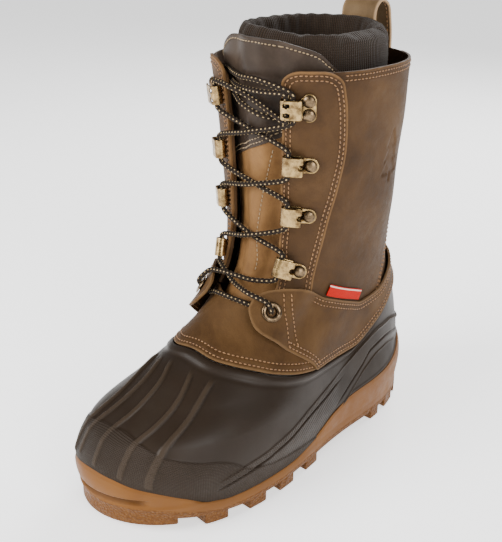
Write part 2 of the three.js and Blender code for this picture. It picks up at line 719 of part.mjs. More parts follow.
for (const [side, name] of [[1, 'lateral'], [-1, 'medial']]) {
  add(`top_hook_${name}`, laid(hook(), side, hookPlace), brass);
  hookRivets.forEach(([x, y], i) => {
    const rivet = turned(rivetProfile(4.3), 8).translate(x, y, 0);
    add(`hook_rivet_${name}_${i + 1}`, placed(rivet, side, hookPlace, plateOff), brass);
  });
  cleatPlaces.forEach((place, i) => {
    add(`cleat_${name}_${i + 1}`, laid(cleat(), side, place), brass);
    const rivet = turned(rivetProfile(4.2), 8).translate(...cleatRivet, 0);
    add(`cleat_rivet_${name}_${i + 1}`, placed(rivet, side, place, plateOff), brass);
  });
}

// ---------------------------------------------------------------- padded cuff
// Elastic-gathered top of the liner, narrower than the shaft: a padded ring.
const cuffSection = [[-15.5, 264], [-15.6, 276], [-15.6, 290], [-16.6, 302], [-19, 311], [-23, 316.5],
  [-27, 315.5],
  [-29.8, 308], [-30, 294], [-27.5, 279], [-22.5, 266]];
add('padded_cuff', loft(cuffSection.map(([off, z]) => ring(z, off)), false), knit);

// ---------------------------------------------------------------- pull loop
// A strap sewn to both faces of the back stay and doubled over above the rim.
const loopWidth = 30;
const loopCentre = -2;
const strapThickness = 1.8;
const backRound = 112;
function strip(line) {
  const curve = new THREE.CatmullRomCurve3(
    line.map(([y, z]) => new THREE.Vector3(0, y, z)), false, 'centripetal');
  const steps = line.length < 4 ? 2 : 14;
  const side = (off) => {
    const rows = [];
    for (let i = 0; i <= steps; i += 1) {
      const p = curve.getPoint(i / steps);
      const along = curve.getTangent(i / steps);
      const y = p.y - along.z * off;
      const z = p.z + along.y * off;
      rows.push([-0.5, -0.17, 0.17, 0.5].map((f) => {
        const x = loopCentre + f * loopWidth;
        return new THREE.Vector3(x + originShift.x, y - x * x / backRound + originShift.y, z);
      }));
    }
    return rows;
  };
  return slab(side(strapThickness / 2), side(-strapThickness / 2));
}
const rearFace = skin(180, shaftTop).y - originShift.y;
const innerTail = rearFace - 5;
const outerTail = rearFace + 1.2;
add('loop_tail_inner', strip([[innerTail, 266], [innerTail, 278], [innerTail, 290.8]]), nubuck);
add('loop_tail_outer', strip([[outerTail, 266], [outerTail, 278], [outerTail, 290.8]]), nubuck);
const loopLine = [[innerTail, 292.8], [innerTail - 3, 298], [innerTail - 9, 306], [innerTail - 12, 313],
  [innerTail - 10.5, 320], [innerTail - 5, 323.4], [innerTail + 1, 320], [outerTail - 2.5, 311],
  [outerTail - 0.6, 301], [outerTail, 292.8]];
add('pull_loop', strip(loopLine), nubuck);

// ---------------------------------------------------------------- side label
const labelRise = 7.5;
function labelStrip() {
  const place = (u, v) => {
    const angle = THREE.MathUtils.lerp(67.5, 97.5, u);
    const foot = THREE.MathUtils.lerp(strapTop(67.5), strapTop(97.5), u) + 1.3;
    return [angle, foot + v * labelRise];
  };
  return panel({ cols: 2, rows: 1, place, outer: 1.9, inner: 1 });
}
add('side_label', labelStrip(), red);

// ---------------------------------------------------------------- lace
// One round lace from hidden end to hidden end. A point is [side, angle, height, stand-off].
const onSkin = ([side, angle, z, off]) => at(side * angle, z, off);
const lane = -9.2;
const secondLane = -4.8;
function throughFitting(side, place, upwards, x = lane) {
  const heights = [-9.2, -6.4, 0, 6.4, 9.2];
  const points = heights.map((y) => fittingPoint(side, place, plateOff, x, y, bendHeight / 2));
  return upwards ? points : points.reverse();
}
const over = 4.8;
const under = 0.8;
const crossing = (z, off) => onSkin([0, 0, z, off]);
const [cleat1, cleat2, cleat3] = cleatPlaces;
function outOfEyelet(side) {
  return [[0, 0, -4.6], [0, 0, 0], [-1.4, 0.7, 3.6], [-5.5, 3, 4.4]].map((p) =>
    fittingPoint(side, eyeletPlace, eyeletOff, ...p));
}
const bar = [[1, 30, 126, 2.2], [1, 22, 129, 2.1], [1, 11, 131, 2.2], [1, 0, 131.5, 2.2], [-1, 11, 131, 2.2],
  [-1, 22, 129, 2.1], [-1, 30, 126, 2.2]].map(onSkin);
const medialEnd = [[-1, 58, 262, -5.1], [-1, 54, 274, -5.1], [-1, 44, 281, -5.6], [-1, 34, 284, -5.9],
  [-1, 25, 284.5, -5.9], [-1, 15, 284.5, -2.6], [-1, 5, 284.5, 1.4], [1, 8, 285, 4.2]].map(onSkin);
const turnAtMedial = [[1, 9, 277.5, 4.2], [-1, 5, 277, 1.1], [-1, 14, 277, -2.2], [-1, 23, 277, -5.9],
  [-1, 29, 273, -5.9], [-1, 23, 269, -5.9], [-1, 14, 269, -2.2], [-1, 6, 267, 2.4], [1, 6, 262, 3.4],
  [1, 15, 258, -3], [1, 21, 254, -5.2], [1, 28, 236, -5.1], [1, 29, 205, -5.1],
    [1, 31, 176, -5.1]].map(onSkin);
const route = [
  ...medialEnd, ...throughFitting(1, hookPlace, false, secondLane), crossing(249, over),
  ...throughFitting(-1, cleat1, false), crossing(212, under), ...throughFitting(1, cleat2, false),
  crossing(174, over), ...throughFitting(-1, cleat3, false),
  ...[[-1, 16, 144, 5], [-1, 4, 140, 3.6], [1, 8, 137, 6.5], [1, 17, 134, 11]].map(onSkin),
  ...outOfEyelet(1).reverse(), ...bar, ...outOfEyelet(-1),
  ...[[-1, 25, 137.5, 11.4], [-1, 17, 141, 8.8], [-1, 9, 143, 7.2], [1, 2, 144, 5.4],
    [1, 12, 144, 4.8]].map(onSkin),
  ...throughFitting(1, cleat3, true), crossing(174, under), ...throughFitting(-1, cleat2, true),
  crossing(212, over), ...throughFitting(1, cleat1, true), crossing(249, under),
  ...throughFitting(-1, hookPlace, true), onSkin([-1, 10, 277.5, 6]), onSkin([1, 1, 271, 1.4]),
  ...throughFitting(1, hookPlace, true), ...turnAtMedial,
];
const laceCurve = new THREE.CatmullRomCurve3(route, false, 'centripetal');
function tube(curve, radius, sides, steps) {
  let across = new THREE.Vector3(0, 0, 1);
  const rings = [[curve.getPoint(0)]];
  for (let i = 0; i <= steps; i += 1) {
    const middle = curve.getPoint(i / steps);
    const along = curve.getTangent(i / steps);
    across = across.clone().addScaledVector(along, -across.dot(along)).normalize();
    const up = along.clone().cross(across);
    const rim = arcPoints(0, 0, radius, 0, 360 - 360 / sides, sides - 1);
    rings.push(rim.map(([x, y]) => middle.clone().addScaledVector(across, x).addScaledVector(up, y)));
  }
  rings.push([curve.getPoint(1)]);
  return loft(rings);
}
add('lace', tube(laceCurve, laceRadius, 6, 2 * (route.length - 1)), cordBlack);

export default boot;
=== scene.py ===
# Insulated hunting boot, left foot: the looks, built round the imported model.
import math
import random

import bpy
import numpy as np
from mathutils import Matrix, Vector
from mathutils.bvhtree import BVHTree
from mathutils.kdtree import KDTree


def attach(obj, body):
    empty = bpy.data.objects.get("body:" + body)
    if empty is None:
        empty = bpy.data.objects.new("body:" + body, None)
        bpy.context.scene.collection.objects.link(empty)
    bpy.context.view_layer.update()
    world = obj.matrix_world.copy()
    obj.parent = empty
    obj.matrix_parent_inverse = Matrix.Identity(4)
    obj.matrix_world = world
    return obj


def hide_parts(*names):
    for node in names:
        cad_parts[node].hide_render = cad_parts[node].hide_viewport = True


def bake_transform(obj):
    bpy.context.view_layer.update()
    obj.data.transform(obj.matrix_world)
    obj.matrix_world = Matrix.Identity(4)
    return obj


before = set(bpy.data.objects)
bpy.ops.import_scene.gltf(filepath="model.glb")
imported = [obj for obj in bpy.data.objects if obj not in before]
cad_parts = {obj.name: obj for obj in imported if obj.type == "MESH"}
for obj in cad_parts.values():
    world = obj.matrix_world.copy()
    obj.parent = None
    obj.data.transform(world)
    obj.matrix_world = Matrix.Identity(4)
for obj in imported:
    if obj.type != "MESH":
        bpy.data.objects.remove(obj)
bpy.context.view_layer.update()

MM = 0.001


# ------------------------------------------------------------------ floor, light and camera
# A pale studio floor under a white sky, a large soft light high on the toe's side, one on the
# outer side and a strip behind. The camera looks down at the outer side of the toe.
def clear_selection():
    if bpy.context.object and bpy.context.object.mode != "OBJECT":
        bpy.ops.object.mode_set(mode="OBJECT")
    bpy.ops.object.select_all(action="DESELECT")


clear_selection()
bpy.ops.mesh.primitive_plane_add(size=60)
floor = bpy.context.object
floor.name = "floor"
paper = bpy.data.materials.new("studio_paper")
paper.use_nodes = True
paper_face = paper.node_tree.nodes["Principled BSDF"]
paper_face.inputs["Base Color"].default_value = (0.97, 0.97, 0.97, 1)
paper_face.inputs["Roughness"].default_value = 0.9
paper_face.inputs["Emission Color"].default_value = (1, 1, 1, 1)
paper_face.inputs["Emission Strength"].default_value = 1.1
floor.data.materials.append(paper)

sky = bpy.data.worlds.new("white_sky")
sky.use_nodes = True
sky.node_tree.nodes["Background"].inputs["Color"].default_value = (1, 1, 1, 1)
sky.node_tree.nodes["Background"].inputs["Strength"].default_value = 0.35
bpy.context.scene.world = sky


def softbox(name, place, aim, size, power):
    light = bpy.data.objects.new(name, bpy.data.lights.new(name, "AREA"))
    light.data.shape = "RECTANGLE"
    light.data.size, light.data.size_y = size
    light.data.energy = power
    light.location = place
    light.rotation_euler = (Vector(aim) - Vector(place)).to_track_quat("-Z", "Y").to_euler()
    bpy.context.collection.objects.link(light)


softbox("key", (-0.5, -1.25, 0.8), (0, -0.02, 0.12), (0.9, 0.7), 36)
softbox("side", (1.35, -0.45, 0.7), (0, 0, 0.15), (0.8, 1.0), 21)
softbox("rim", (-0.2, 1.2, 1.1), (0, 0.05, 0.2), (1.0, 0.4), 26)

camera_turn, camera_rise, camera_roll = math.radians(42.05), math.radians(23.49), 0.01166
camera_distance = 0.6
target = Vector((0.02111, -0.03600, 0.15283))
back = Vector((
    math.sin(camera_turn) * math.cos(camera_rise),
    -math.cos(camera_turn) * math.cos(camera_rise),
    math.sin(camera_rise),
))
level = Vector((math.cos(camera_turn), math.sin(camera_turn), 0))
above = back.cross(level)
right = level * math.cos(camera_roll) + above * math.sin(camera_roll)
upward = back.cross(right)
camera = bpy.data.objects.new("camera", bpy.data.cameras.new("camera"))
bpy.context.collection.objects.link(camera)
facing_target = Matrix((right, upward, back)).transposed().to_4x4()
camera.matrix_world = Matrix.Translation(target + back * camera_distance) @ facing_target
camera.data.sensor_width = 36
camera.data.lens = 57.96
camera.data.shift_x = 0.0014
camera.data.shift_y = 0.0114
bpy.context.scene.camera = camera


# ------------------------------------------------------------------ outsole
# Gum rubber outsole, moulded in one: a smooth band round the side, a bumper with a long slot at
# the toe, and stippled lugs with gaps between them.
WEB = 8.0
BAND_FOOT = 18
LUG_RIM = 12.0
SLOT_HEIGHT = 25.8
EDGE_LUGS = [(-110, -92), (-78, -58), (-47, -27), (-16, 4), (74, 92), (100, 118), (126, 141)]
CHEVRONS = [(-99, 15, 9, -5), (-68, 17, 9, -2), (-37, 17, 9, 0), (-6, 15, 9, 0),
            (88, 11, 8, 0), (112, 11, 8, 0), (134, 10, 8, 0)]
SOLE_LINE = [(-14, 42), (0, 44), (14, 42), (25, 38), (36, 34), (48, 27), (58, 19.5), (68, 18), (96, 18),
             (104, 23), (111, 33), (119, 39), (134, 40), (146, 43), (158, 51), (180, 58)]

# Every leather, rubber and knit piece is cut to the same last. Its skin is given by an angle
# round the boot (0 toe, 90 outer side, 180 heel) and a height, in millimetres.
SECTIONS = [
    # height, front, back, lateral, medial, widest, nose, tail, arch
    (18, -153, 151, 57, 57, 0.33, 2.8, 3.4, 7),
    (40, -157, 155, 60, 60, 0.33, 2.8, 3.4, 7),
    (62, -149, 154, 58, 58, 0.36, 2.6, 3.1, 8),
    (80, -118, 151, 53, 53, 0.42, 2.4, 2.9, 7),
    (100, -80, 145, 48, 49, 0.48, 2.3, 2.7, 4),
    (122, -47, 135, 45, 47, 0.52, 2.2, 2.4, 1),
    (150, -22, 127, 46, 49, 0.53, 2.4, 2.2, 0),
    (190, -13, 123, 51, 56, 0.53, 2.8, 2.2, 0),
    (240, -14, 122, 56, 62, 0.52, 2.9, 2.3, 0),
    (292, -19, 122, 60, 68, 0.51, 2.9, 2.3, 0),
]
TOE_SWEEP = dict(start=-35, length=115, inward=13, power=1.6)
ORIGIN = np.array([3.98, -0.54, 0.0])


def through(pairs, x):
    """Smooth curve through [x, value] pairs that never overshoots them."""
    knots, values = np.array(pairs, float).T
    rates = np.diff(values) / np.diff(knots)
    before, after = rates[:-1], rates[1:]
    same_way = before * after > 0
    total = np.where(same_way, before + after, 1)
    inner = np.where(same_way, 2 * before * after / total, 0)
    slopes = np.concatenate([rates[:1], inner, rates[-1:]])
    x = np.clip(np.asarray(x, float), knots[0], knots[-1])
    i = np.clip(np.searchsorted(knots, x, side="right") - 1, 0, len(rates) - 1)
    width = knots[i + 1] - knots[i]
    s = (x - knots[i]) / width
    ease = slopes[i] * s * (1 - s) ** 2 - slopes[i + 1] * s * s * (1 - s)
    return values[i] + (values[i + 1] - values[i]) * s * s * (3 - 2 * s) + width * ease


def smoothstep(low, high, x):
    s = np.clip((np.asarray(x, float) - low) / (high - low), 0, 1)
    return s * s * (3 - 2 * s)


def mix(a, b, s):
    return a + (b - a) * s


def fold(angle):
    return np.abs((np.asarray(angle, float) + 180) % 360 - 180)


def skin(angle, z):
    angle, z = np.broadcast_arrays(np.asarray(angle, float), np.asarray(z, float))
    front, rear, lateral, medial, widest, nose, tail, arch = (
        through([(row[0], row[k]) for row in SECTIONS], z) for k in range(1, 9)
    )
    turn = np.radians(angle)
    length = rear - front
    middle = front + widest * length
    along = np.abs(np.cos(turn))
    ahead = np.cos(turn) > 0
    y = np.where(ahead, middle - along * (middle - front), middle + along * (rear - middle))
    half = np.where(np.sin(turn) >= 0, lateral, medial)
    width = half * np.sqrt(np.maximum(0, 1 - along ** np.where(ahead, nose, tail)))
    from_arch = ((y - front) / length - 0.62) / 0.17
    width = width - arch * np.exp(-from_arch ** 2) * np.abs(np.sin(turn)) ** 1.5
    sweep = np.clip((TOE_SWEEP["start"] - y) / TOE_SWEEP["length"], 0, 2)
    x = np.sign(np.sin(turn)) * width - TOE_SWEEP["inward"] * sweep ** TOE_SWEEP["power"]
    return np.stack([x, y, z], -1) + ORIGIN


def unit(v):
    return v / np.maximum(np.linalg.norm(v, axis=-1, keepdims=True), 1e-9)


def outward(angle, z):
    across = skin(np.add(angle, 1), z) - skin(np.subtract(angle, 1), z)
    up = skin(angle, np.add(z, 1.5)) - skin(angle, np.subtract(z, 1.5))
    return unit(np.cross(across, up))


def at(angle, z, off=0.0):
    """Points in millimetres on the skin, or standing off it."""
    return skin(angle, z) + outward(angle, z) * np.asarray(off, float)[..., None]


def sole_top(angle):
    return through(SOLE_LINE, fold(angle))


def ground_rise(y):
    return 8.5 * np.maximum(0, (-75 - np.asarray(y, float)) / 74) ** 1.6


def heel_flare(angle):
    return 3.5 * smoothstep(118, 160, fold(angle))


def mesh_piece(name, points, faces, uvs=None):
    """Piece from points in millimetres, with its faces' uv corners if it has them."""
    mesh = bpy.data.meshes.new(name)
    mesh.from_pydata([tuple(p) for p in np.asarray(points) * MM], [], faces)
    if uvs is not None:
        layer = mesh.uv_layers.new(name="UVMap")
        loops = np.empty(len(mesh.loops), int)
        mesh.loops.foreach_get("vertex_index", loops)
        layer.data.foreach_set("uv", np.asarray(uvs, float)[loops].ravel())
    piece = bpy.data.objects.new(name, mesh)
    bpy.context.collection.objects.link(piece)
    mesh.shade_smooth()
    return piece


def finish(piece, material, body, stands_for=()):
    piece.data.materials.clear()
    piece.data.materials.append(material)
    if body:
        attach(piece, body)
    if stands_for:
        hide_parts(*stands_for)


def modify(piece, kind, **settings):
    """Adds a modifier and applies it."""
    clear_selection()
    bpy.context.view_layer.objects.active = piece
    piece.select_set(True)
    modifier = piece.modifiers.new(kind.lower(), kind)
    for key, value in settings.items():
        setattr(modifier, key, value)
    bpy.ops.object.modifier_apply(modifier=modifier.name)


def grid_piece(name, points):
    """Skin over rows of points; u and v are millimetres round and up."""
    rows, cols = points.shape[:2]
    run = np.linalg.norm(np.diff(points, axis=1), axis=2).mean(0)
    climb = np.linalg.norm(np.diff(points, axis=0), axis=2).mean(1)
    u = np.broadcast_to(np.concatenate([[0], np.cumsum(run)]), (rows, cols))
    v = np.broadcast_to(np.concatenate([[0], np.cumsum(climb)])[:, None], (rows, cols))
    faces = []
    for i in range(rows - 1):
        for j in range(cols - 1):
            a = i * cols + j
            faces.append((a, a + 1, a + 1 + cols, a + cols))
    return mesh_piece(name, points.reshape(-1, 3), faces, np.stack([u, v], -1).reshape(-1, 2))


def set_attribute(piece, name, values):
    layer = piece.data.attributes.new(name, "FLOAT", "POINT")
    layer.data.foreach_set("value", np.asarray(values, float).ravel())


def band_height(angle, level):
    foot = WEB + ground_rise(skin(angle, BAND_FOOT)[..., 1] - ORIGIN[1]) - 0.5
    return mix(foot, sole_top(angle), level)


def slot(angle, z, blur):
    """1 inside the long slot across the toe bumper, 0 outside it."""
    reach = smoothstep(39, 31, fold(angle + 6))
    return smoothstep(blur, 1.9, np.abs(z - SLOT_HEIGHT - 0.02 * fold(angle))) * reach


def band_point(angle, level):
    """level 0 is under the band, 1 its top edge, above 1 over the lip and down its inside."""
    rising = np.clip(level, 0, 1)
    z = band_height(angle, rising)
    bulge = 1.4 + heel_flare(angle) * (1 - 0.75 * rising) + 0.9 * np.sin(np.pi * rising)
    off = np.where(level <= 1, bulge, bulge - 3.6 * (level - 1) / 0.12)
    off = off - 0.5 * smoothstep(0.9, 1.0, level) * (level <= 1)
    off = off - 3.0 * slot(angle, z, 2.7) * (level <= 1)
    shelf = smoothstep(23.5, 21.5, z) * smoothstep(60, 50, fold(angle))
    off = off + 0.9 * shelf * (level <= 1)
    return at(angle, np.where(level <= 1, z, sole_top(angle) - 1.5 * (level - 1)), off)


band_levels = np.concatenate([np.linspace(0, 1, 44), [1.02, 1.06, 1.12]])
angle, level = np.meshgrid(np.linspace(0, 360, 541), band_levels)
band = grid_piece("outsole_band", band_point(angle, level))
# recess marks the toe slot for its painted shade
set_attribute(band, "recess", slot(angle, band_height(angle, level), 3.0) * (level <= 1))


def stamp(name, outline, low, high, edge):
    """Block cut to a flat outline: a filled disc reshaped, extruded upwards and its edges eased."""
    clear_selection()
    bpy.ops.mesh.primitive_circle_add(vertices=len(outline), radius=1, fill_type="NGON")
    piece = bpy.context.object
    piece.name = name
    area = sum(a[0] * b[1] - b[0] * a[1] for a, b in zip(outline, outline[1:] + outline[:1]))
    for vertex, (x, y) in zip(piece.data.vertices, outline if area > 0 else outline[::-1]):
        vertex.co = (x * MM, y * MM, high * MM)
    bpy.ops.object.mode_set(mode="EDIT")
    bpy.ops.mesh.select_all(action="SELECT")
    bpy.ops.mesh.extrude_region_move(TRANSFORM_OT_translate={"value": (0, 0, (low - high) * MM)})
    bpy.ops.mesh.select_all(action="SELECT")
    bpy.ops.mesh.normals_make_consistent(inside=False)
    bpy.ops.object.mode_set(mode="OBJECT")
    modify(piece, "BEVEL", width=edge * MM, segments=2, limit_method="ANGLE", angle_limit=0.7)
    piece.data.shade_smooth()
    return piece


def edge_outline(side, y0, y1, off, reach):
    angles = np.arange(2, 179, 1.5)
    rim = at(side * angles, LUG_RIM, off + heel_flare(angles))
    rim = rim[(rim[:, 1] - ORIGIN[1] > y0) & (rim[:, 1] - ORIGIN[1] < y1)]
    inner = max(6, min(abs(rim[0, 0]), abs(rim[-1, 0])) - reach) * side
    return [tuple(p[:2]) for p in rim] + [(inner, y1 - 3.5), (inner, y0 + 2.5)]


lugs = []
for side in (1, -1):
    for y0, y1 in EDGE_LUGS:
        lift = float(ground_rise((y0 + y1) / 2))
        lugs.append(stamp("lug", edge_outline(side, y0, y1, 1.6, 26), lift, lift + WEB + 3.2, 0.9))
for y, half, depth, centre in CHEVRONS:
    lift = float(ground_rise(y))
    tip = y - 9
    shape = [(centre - half, y), (centre, tip), (centre + half, y), (centre + half, y + depth),
             (centre, tip + depth), (centre - half, y + depth)]
    shape = [(a + ORIGIN[0], b + ORIGIN[1]) for a, b in shape]
    lugs.append(stamp("lug", shape, lift, lift + WEB + 2, 0.8))
toe = at(np.arange(-84, 85, 2.0), LUG_RIM, 1.9)
toe = [tuple(p[:2]) for p in toe if p[1] - ORIGIN[1] < -124]
toe_lift = float(ground_rise(-138))
lugs.append(stamp("lug", toe, toe_lift, toe_lift + WEB + 3, 1.1))
for x in (-14, 6):
    bar = [(x, 18), (x + 8, 18), (x + 8, 62), (x, 62)]
    lugs.append(stamp("lug", [(a + ORIGIN[0], b + ORIGIN[1]) for a, b in bar], 4, WEB + 3, 0.8))

WEB_STEPS, WEB_RINGS = 120, 10
web_rim = at(np.linspace(0, 360, WEB_STEPS + 1)[:-1], LUG_RIM, 1.0)
web_middle = np.array([ORIGIN[0], ORIGIN[1] - 5, 0])
web_points = [web_middle + [0, 0, WEB]]
for f in np.linspace(0.1, 1, WEB_RINGS):
    ring_points = mix(web_middle, web_rim, f)
    ring_points[:, 2] = WEB + ground_rise(ring_points[:, 1] - ORIGIN[1])
    web_points += list(ring_points)
web_faces = [(0, 1 + (j + 1) % WEB_STEPS, 1 + j) for j in range(WEB_STEPS)]
for i in range(WEB_RINGS - 1):
    for j in range(WEB_STEPS):
        a, b = 1 + i * WEB_STEPS + j, 1 + i * WEB_STEPS + (j + 1) % WEB_STEPS
        web_faces.append((a + WEB_STEPS, b + WEB_STEPS, b, a))
web = mesh_piece("web", web_points, web_faces)


def join(name, pieces):
    clear_selection()
    for piece in pieces:
        piece.select_set(True)
    bpy.context.view_layer.objects.active = pieces[0]
    bpy.ops.object.join()
    pieces[0].name = name
    return pieces[0]


# The moulding is one piece: band, web and lugs.
outsole = join("outsole_moulding", [band, web, *lugs])
outsole.data.shade_smooth()
modify(outsole, "WEIGHTED_NORMAL", keep_sharp=True)


# Each finish is made from noise in the piece's own coordinates: shader() starts one and add()
# puts a node in it, with values or other nodes' outputs for its inputs.
def shader(name, roughness=0.6, **inputs):
    material = bpy.data.materials.new(name)
    material.use_nodes = True
    surface = material.node_tree.nodes["Principled BSDF"]
    surface.inputs["Roughness"].default_value = roughness
    for key, value in inputs.items():
        surface.inputs[key.replace("_", " ").title().replace("Ior", "IOR")].default_value = value
    return material, material.node_tree, surface


def add(tree, kind, inputs=None, **settings):
    node = tree.nodes.new("ShaderNode" + kind)
    for key, value in settings.items():
        setattr(node, key, value)
    for key, value in (inputs or {}).items():
        if isinstance(value, bpy.types.NodeSocket):
            tree.links.new(value, node.inputs[key])
        else:
            node.inputs[key].default_value = value
    return node


def noise(tree, scale, detail=4, roughness=0.55, distortion=0.0):
    place = add(tree, "TexCoord").outputs["Object"]
    node = add(tree, "TexNoise", {"Vector": place, "Scale": scale, "Detail": detail,
                                  "Roughness": roughness, "Distortion": distortion})
    return node.outputs["Fac"]


def ramp(tree, value, stops):
    node = add(tree, "ValToRGB", {"Fac": value})
    elements = node.color_ramp.elements
    while len(elements) < len(stops):
        elements.new(0.5)
    for element, (position, colour) in zip(elements, stops):
        element.position = position
        element.color = (*colour, 1)
    return node.outputs["Color"]


def span(tree, value, low, high, to_low=0.0, to_high=1.0):
    node = add(tree, "MapRange", {"Value": value, "From Min": low, "From Max": high,
                                  "To Min": to_low, "To Max": to_high})
    return node.outputs["Result"]


def blend_colour(tree, fac, a, b, mode="MIX"):
    node = add(tree, "Mix", data_type="RGBA", blend_type=mode)
    for key, value in (("Factor", fac), ("A", a), ("B", b)):
        socket = next(s for s in node.inputs if s.name == key and s.enabled)
        if isinstance(value, bpy.types.NodeSocket):
            tree.links.new(value, socket)
        else:
            socket.default_value = (*value, 1) if key != "Factor" else value
    return next(s for s in node.outputs if s.enabled)


def maths(tree, operation, *values):
    node = add(tree, "Math", operation=operation)
    for socket, value in zip(node.inputs, values):
        if isinstance(value, bpy.types.NodeSocket):
            tree.links.new(value, socket)
        else:
            socket.default_value = value
    return node.outputs[0]


def bump(tree, surface, height, distance, strength=1.0):
    node = add(tree, "Bump", {"Height": height, "Distance": distance, "Strength": strength})
    tree.links.new(node.outputs["Normal"], surface.inputs["Normal"])


def attribute(tree, name):
    return add(tree, "Attribute", attribute_name=name).outputs["Fac"]


gum, tree, surface = shader("gum_rubber", 0.5)
surface.inputs["Specular IOR Level"].default_value = 0.14
cloudy = noise(tree, 30, 5)
gum_tone = ramp(tree, cloudy, [(0.25, (0.1178, 0.04427, 0.00858)), (0.75, (0.1596, 0.06426, 0.01373))])
place = add(tree, "TexCoord").outputs["Object"]
axes = add(tree, "SeparateXYZ", {"Vector": place})
toe_up = span(tree, axes.outputs["Y"], -0.10, -0.14, 0.0, 0.0095)
low = span(tree, maths(tree, "SUBTRACT", axes.outputs["Z"], toe_up), 0.0118, 0.0102)
stipple = add(tree, "TexVoronoi", {"Vector": place, "Scale": 520.0, "Randomness": 1.0}).outputs["Distance"]
grit = maths(tree, "MULTIPLY", low, stipple)
scuffed = ramp(tree, stipple, [(0.15, (0.153, 0.06384, 0.0153)), (0.6, (0.0935, 0.03352, 0.00648))])
gum_colour = blend_colour(tree, maths(tree, "MULTIPLY", low, 0.75), gum_tone, scuffed)
# painted shade: the toe slot is darkened where shade falls in it
shade = maths(tree, "MULTIPLY", attribute(tree, "recess"), 0.6)
gum_colour = blend_colour(tree, shade, gum_colour, (0.06, 0.026, 0.008))
tree.links.new(gum_colour, surface.inputs["Base Color"])
tree.links.new(span(tree, noise(tree, 120, 3), 0.3, 0.7, 0.42, 0.62), surface.inputs["Roughness"])
fine = maths(tree, "MULTIPLY", noise(tree, 900), 0.12)
grit_height = maths(tree, "ADD", maths(tree, "MULTIPLY", grit, 1.6), fine)
bump(tree, surface, grit_height, 0.0008, 0.9)
finish(outsole, gum, "boot", ["outsole"])


# ------------------------------------------------------------------ shank and lasting board
# Hidden between the shell's floor and the bootie: a brushed spring-steel shank let into a
# pressed fibre board.
steel, tree, surface = shader("brushed_steel", 0.35)
surface.inputs["Metallic"].default_value = 1.0
scratch = noise(tree, 700, 6, 0.7, 2.0)
steel_tone = ramp(tree, scratch, [(0.3, (0.32, 0.32, 0.33)), (0.7, (0.6, 0.6, 0.61))])
tree.links.new(steel_tone, surface.inputs["Base Color"])
bump(tree, surface, scratch, 0.0001, 0.4)
fibre, tree, surface = shader("pressed_fibre_board", 0.9)
flock = noise(tree, 800, 6, 0.8)
board_tone = ramp(tree, flock, [(0.3, (0.16, 0.115, 0.07)), (0.7, (0.32, 0.25, 0.17))])
tree.links.new(board_tone, surface.inputs["Base Color"])
bump(tree, surface, flock, 0.0003, 0.6)
for node, material in (("steel_shank", steel), ("lasting_board", fibre)):
    solid = bpy.data.objects[node]
    solid.data.materials.clear()
    solid.data.materials.append(material)


# ------------------------------------------------------------------ rubber shell
# Dark moulded rubber foot: a bead round the collar, long ribs over the vamp that run out on the
# finely knurled toe cap, two ribbed strips along the side and a pressed counter at the heel.
SHELL_LINE = [(-25, 100), (0, 104), (25, 100), (45, 95), (62, 89), (82, 82), (100, 77), (112, 75.5),
              (120, 85), (132, 99), (150, 106), (180, 108)]
CAP_LINE = [(-180, 0), (-76, 36), (-66, 46), (-60, 50), (-44, 55), (-31, 61), (-19, 66), (-2, 69), (9, 69),
            (23, 65), (31, 61), (36, 58), (44, 55), (53, 52), (60, 50), (66, 47), (72, 42), (77, 36),
            (180, 0)]
STRIP_LINE = [(0, 30), (60, 34), (68, 37.5), (75, 40), (87, 43), (94, 47.5), (100, 54), (108, 60.5),
              (113, 66.5), (117, 72), (122, 77), (127, 79.5), (134, 79.7), (143, 76), (152, 70),
              (165, 66), (180, 65)]
COUNTER_LINE = [(0, 20), (108, 30), (112, 38), (117.6, 49.7), (121.4, 57.3), (125.1, 66), (133.2, 68.4),
                (150, 61), (165, 57), (180, 56)]
PATCH_LINE = [(0, 20), (108, 22), (114, 34), (119.6, 45.5), (123.5, 53.7), (129.4, 60), (135, 60.8),
              (141.3, 58.5), (150, 54), (165, 51), (180, 51)]
VAMP_RIBS = [
    [(-36, -61), (-34, -85), (-31, -115), (-34, -137), (-38, -150)],
    [(-33, -63), (-24, -82), (-19, -101), (-21, -124), (-25, -140), (-28, -152)],
    [(-14, -72), (-13, -80), (-5, -101), (-5, -125), (-9, -142), (-11, -156)],
    [(6, -76), (8, -82), (15, -103), (15, -124), (11, -141), (8, -157)],
    [(22, -69), (24, -84), (28, -110), (27, -132), (25, -143), (22, -156)],
]


def shell_top(angle):
    return through(SHELL_LINE, fold(angle))


def smooth_line(points, per_span=6):
    """Centripetal curve through the points."""
    p = np.array(points, float)
    p = np.vstack([2 * p[0] - p[1], p, 2 * p[-1] - p[-2]])
    line = []
    for i in range(1, len(p) - 2):
        a, b, c, d = p[i - 1:i + 3]
        knots = np.cumsum([0] + [np.linalg.norm(q - r) ** 0.5 for q, r in ((b, a), (c, b), (d, c))])
        for t in np.linspace(knots[1], knots[2], per_span, endpoint=False):
            ab = mix(a, b, (t - knots[0]) / (knots[1] - knots[0]))
            bc = mix(b, c, (t - knots[1]) / (knots[2] - knots[1]))
            cd = mix(c, d, (t - knots[2]) / (knots[3] - knots[2]))
            abc = mix(ab, bc, (t - knots[0]) / (knots[2] - knots[0]))
            bcd = mix(bc, cd, (t - knots[1]) / (knots[3] - knots[1]))
            line.append(mix(abc, bcd, (t - knots[1]) / (knots[2] - knots[1])))
    line.append(p[-2])
    return np.array(line)


def even_steps(line, step):
    """The same line in equal steps of about that length."""
    gone = np.concatenate([[0], np.cumsum(np.linalg.norm(np.diff(line, axis=0), axis=1))])
    count = max(2, int(round(gone[-1] / step)) + 1)
    where = np.linspace(0, gone[-1], count)
    return np.stack([np.interp(where, gone, line[:, k]) for k in range(line.shape[1])], -1)


def shell_point(angle, level):
    ledge = sole_top(angle) - 1.5
    top = shell_top(angle)
    return ledge + (top - ledge) * level


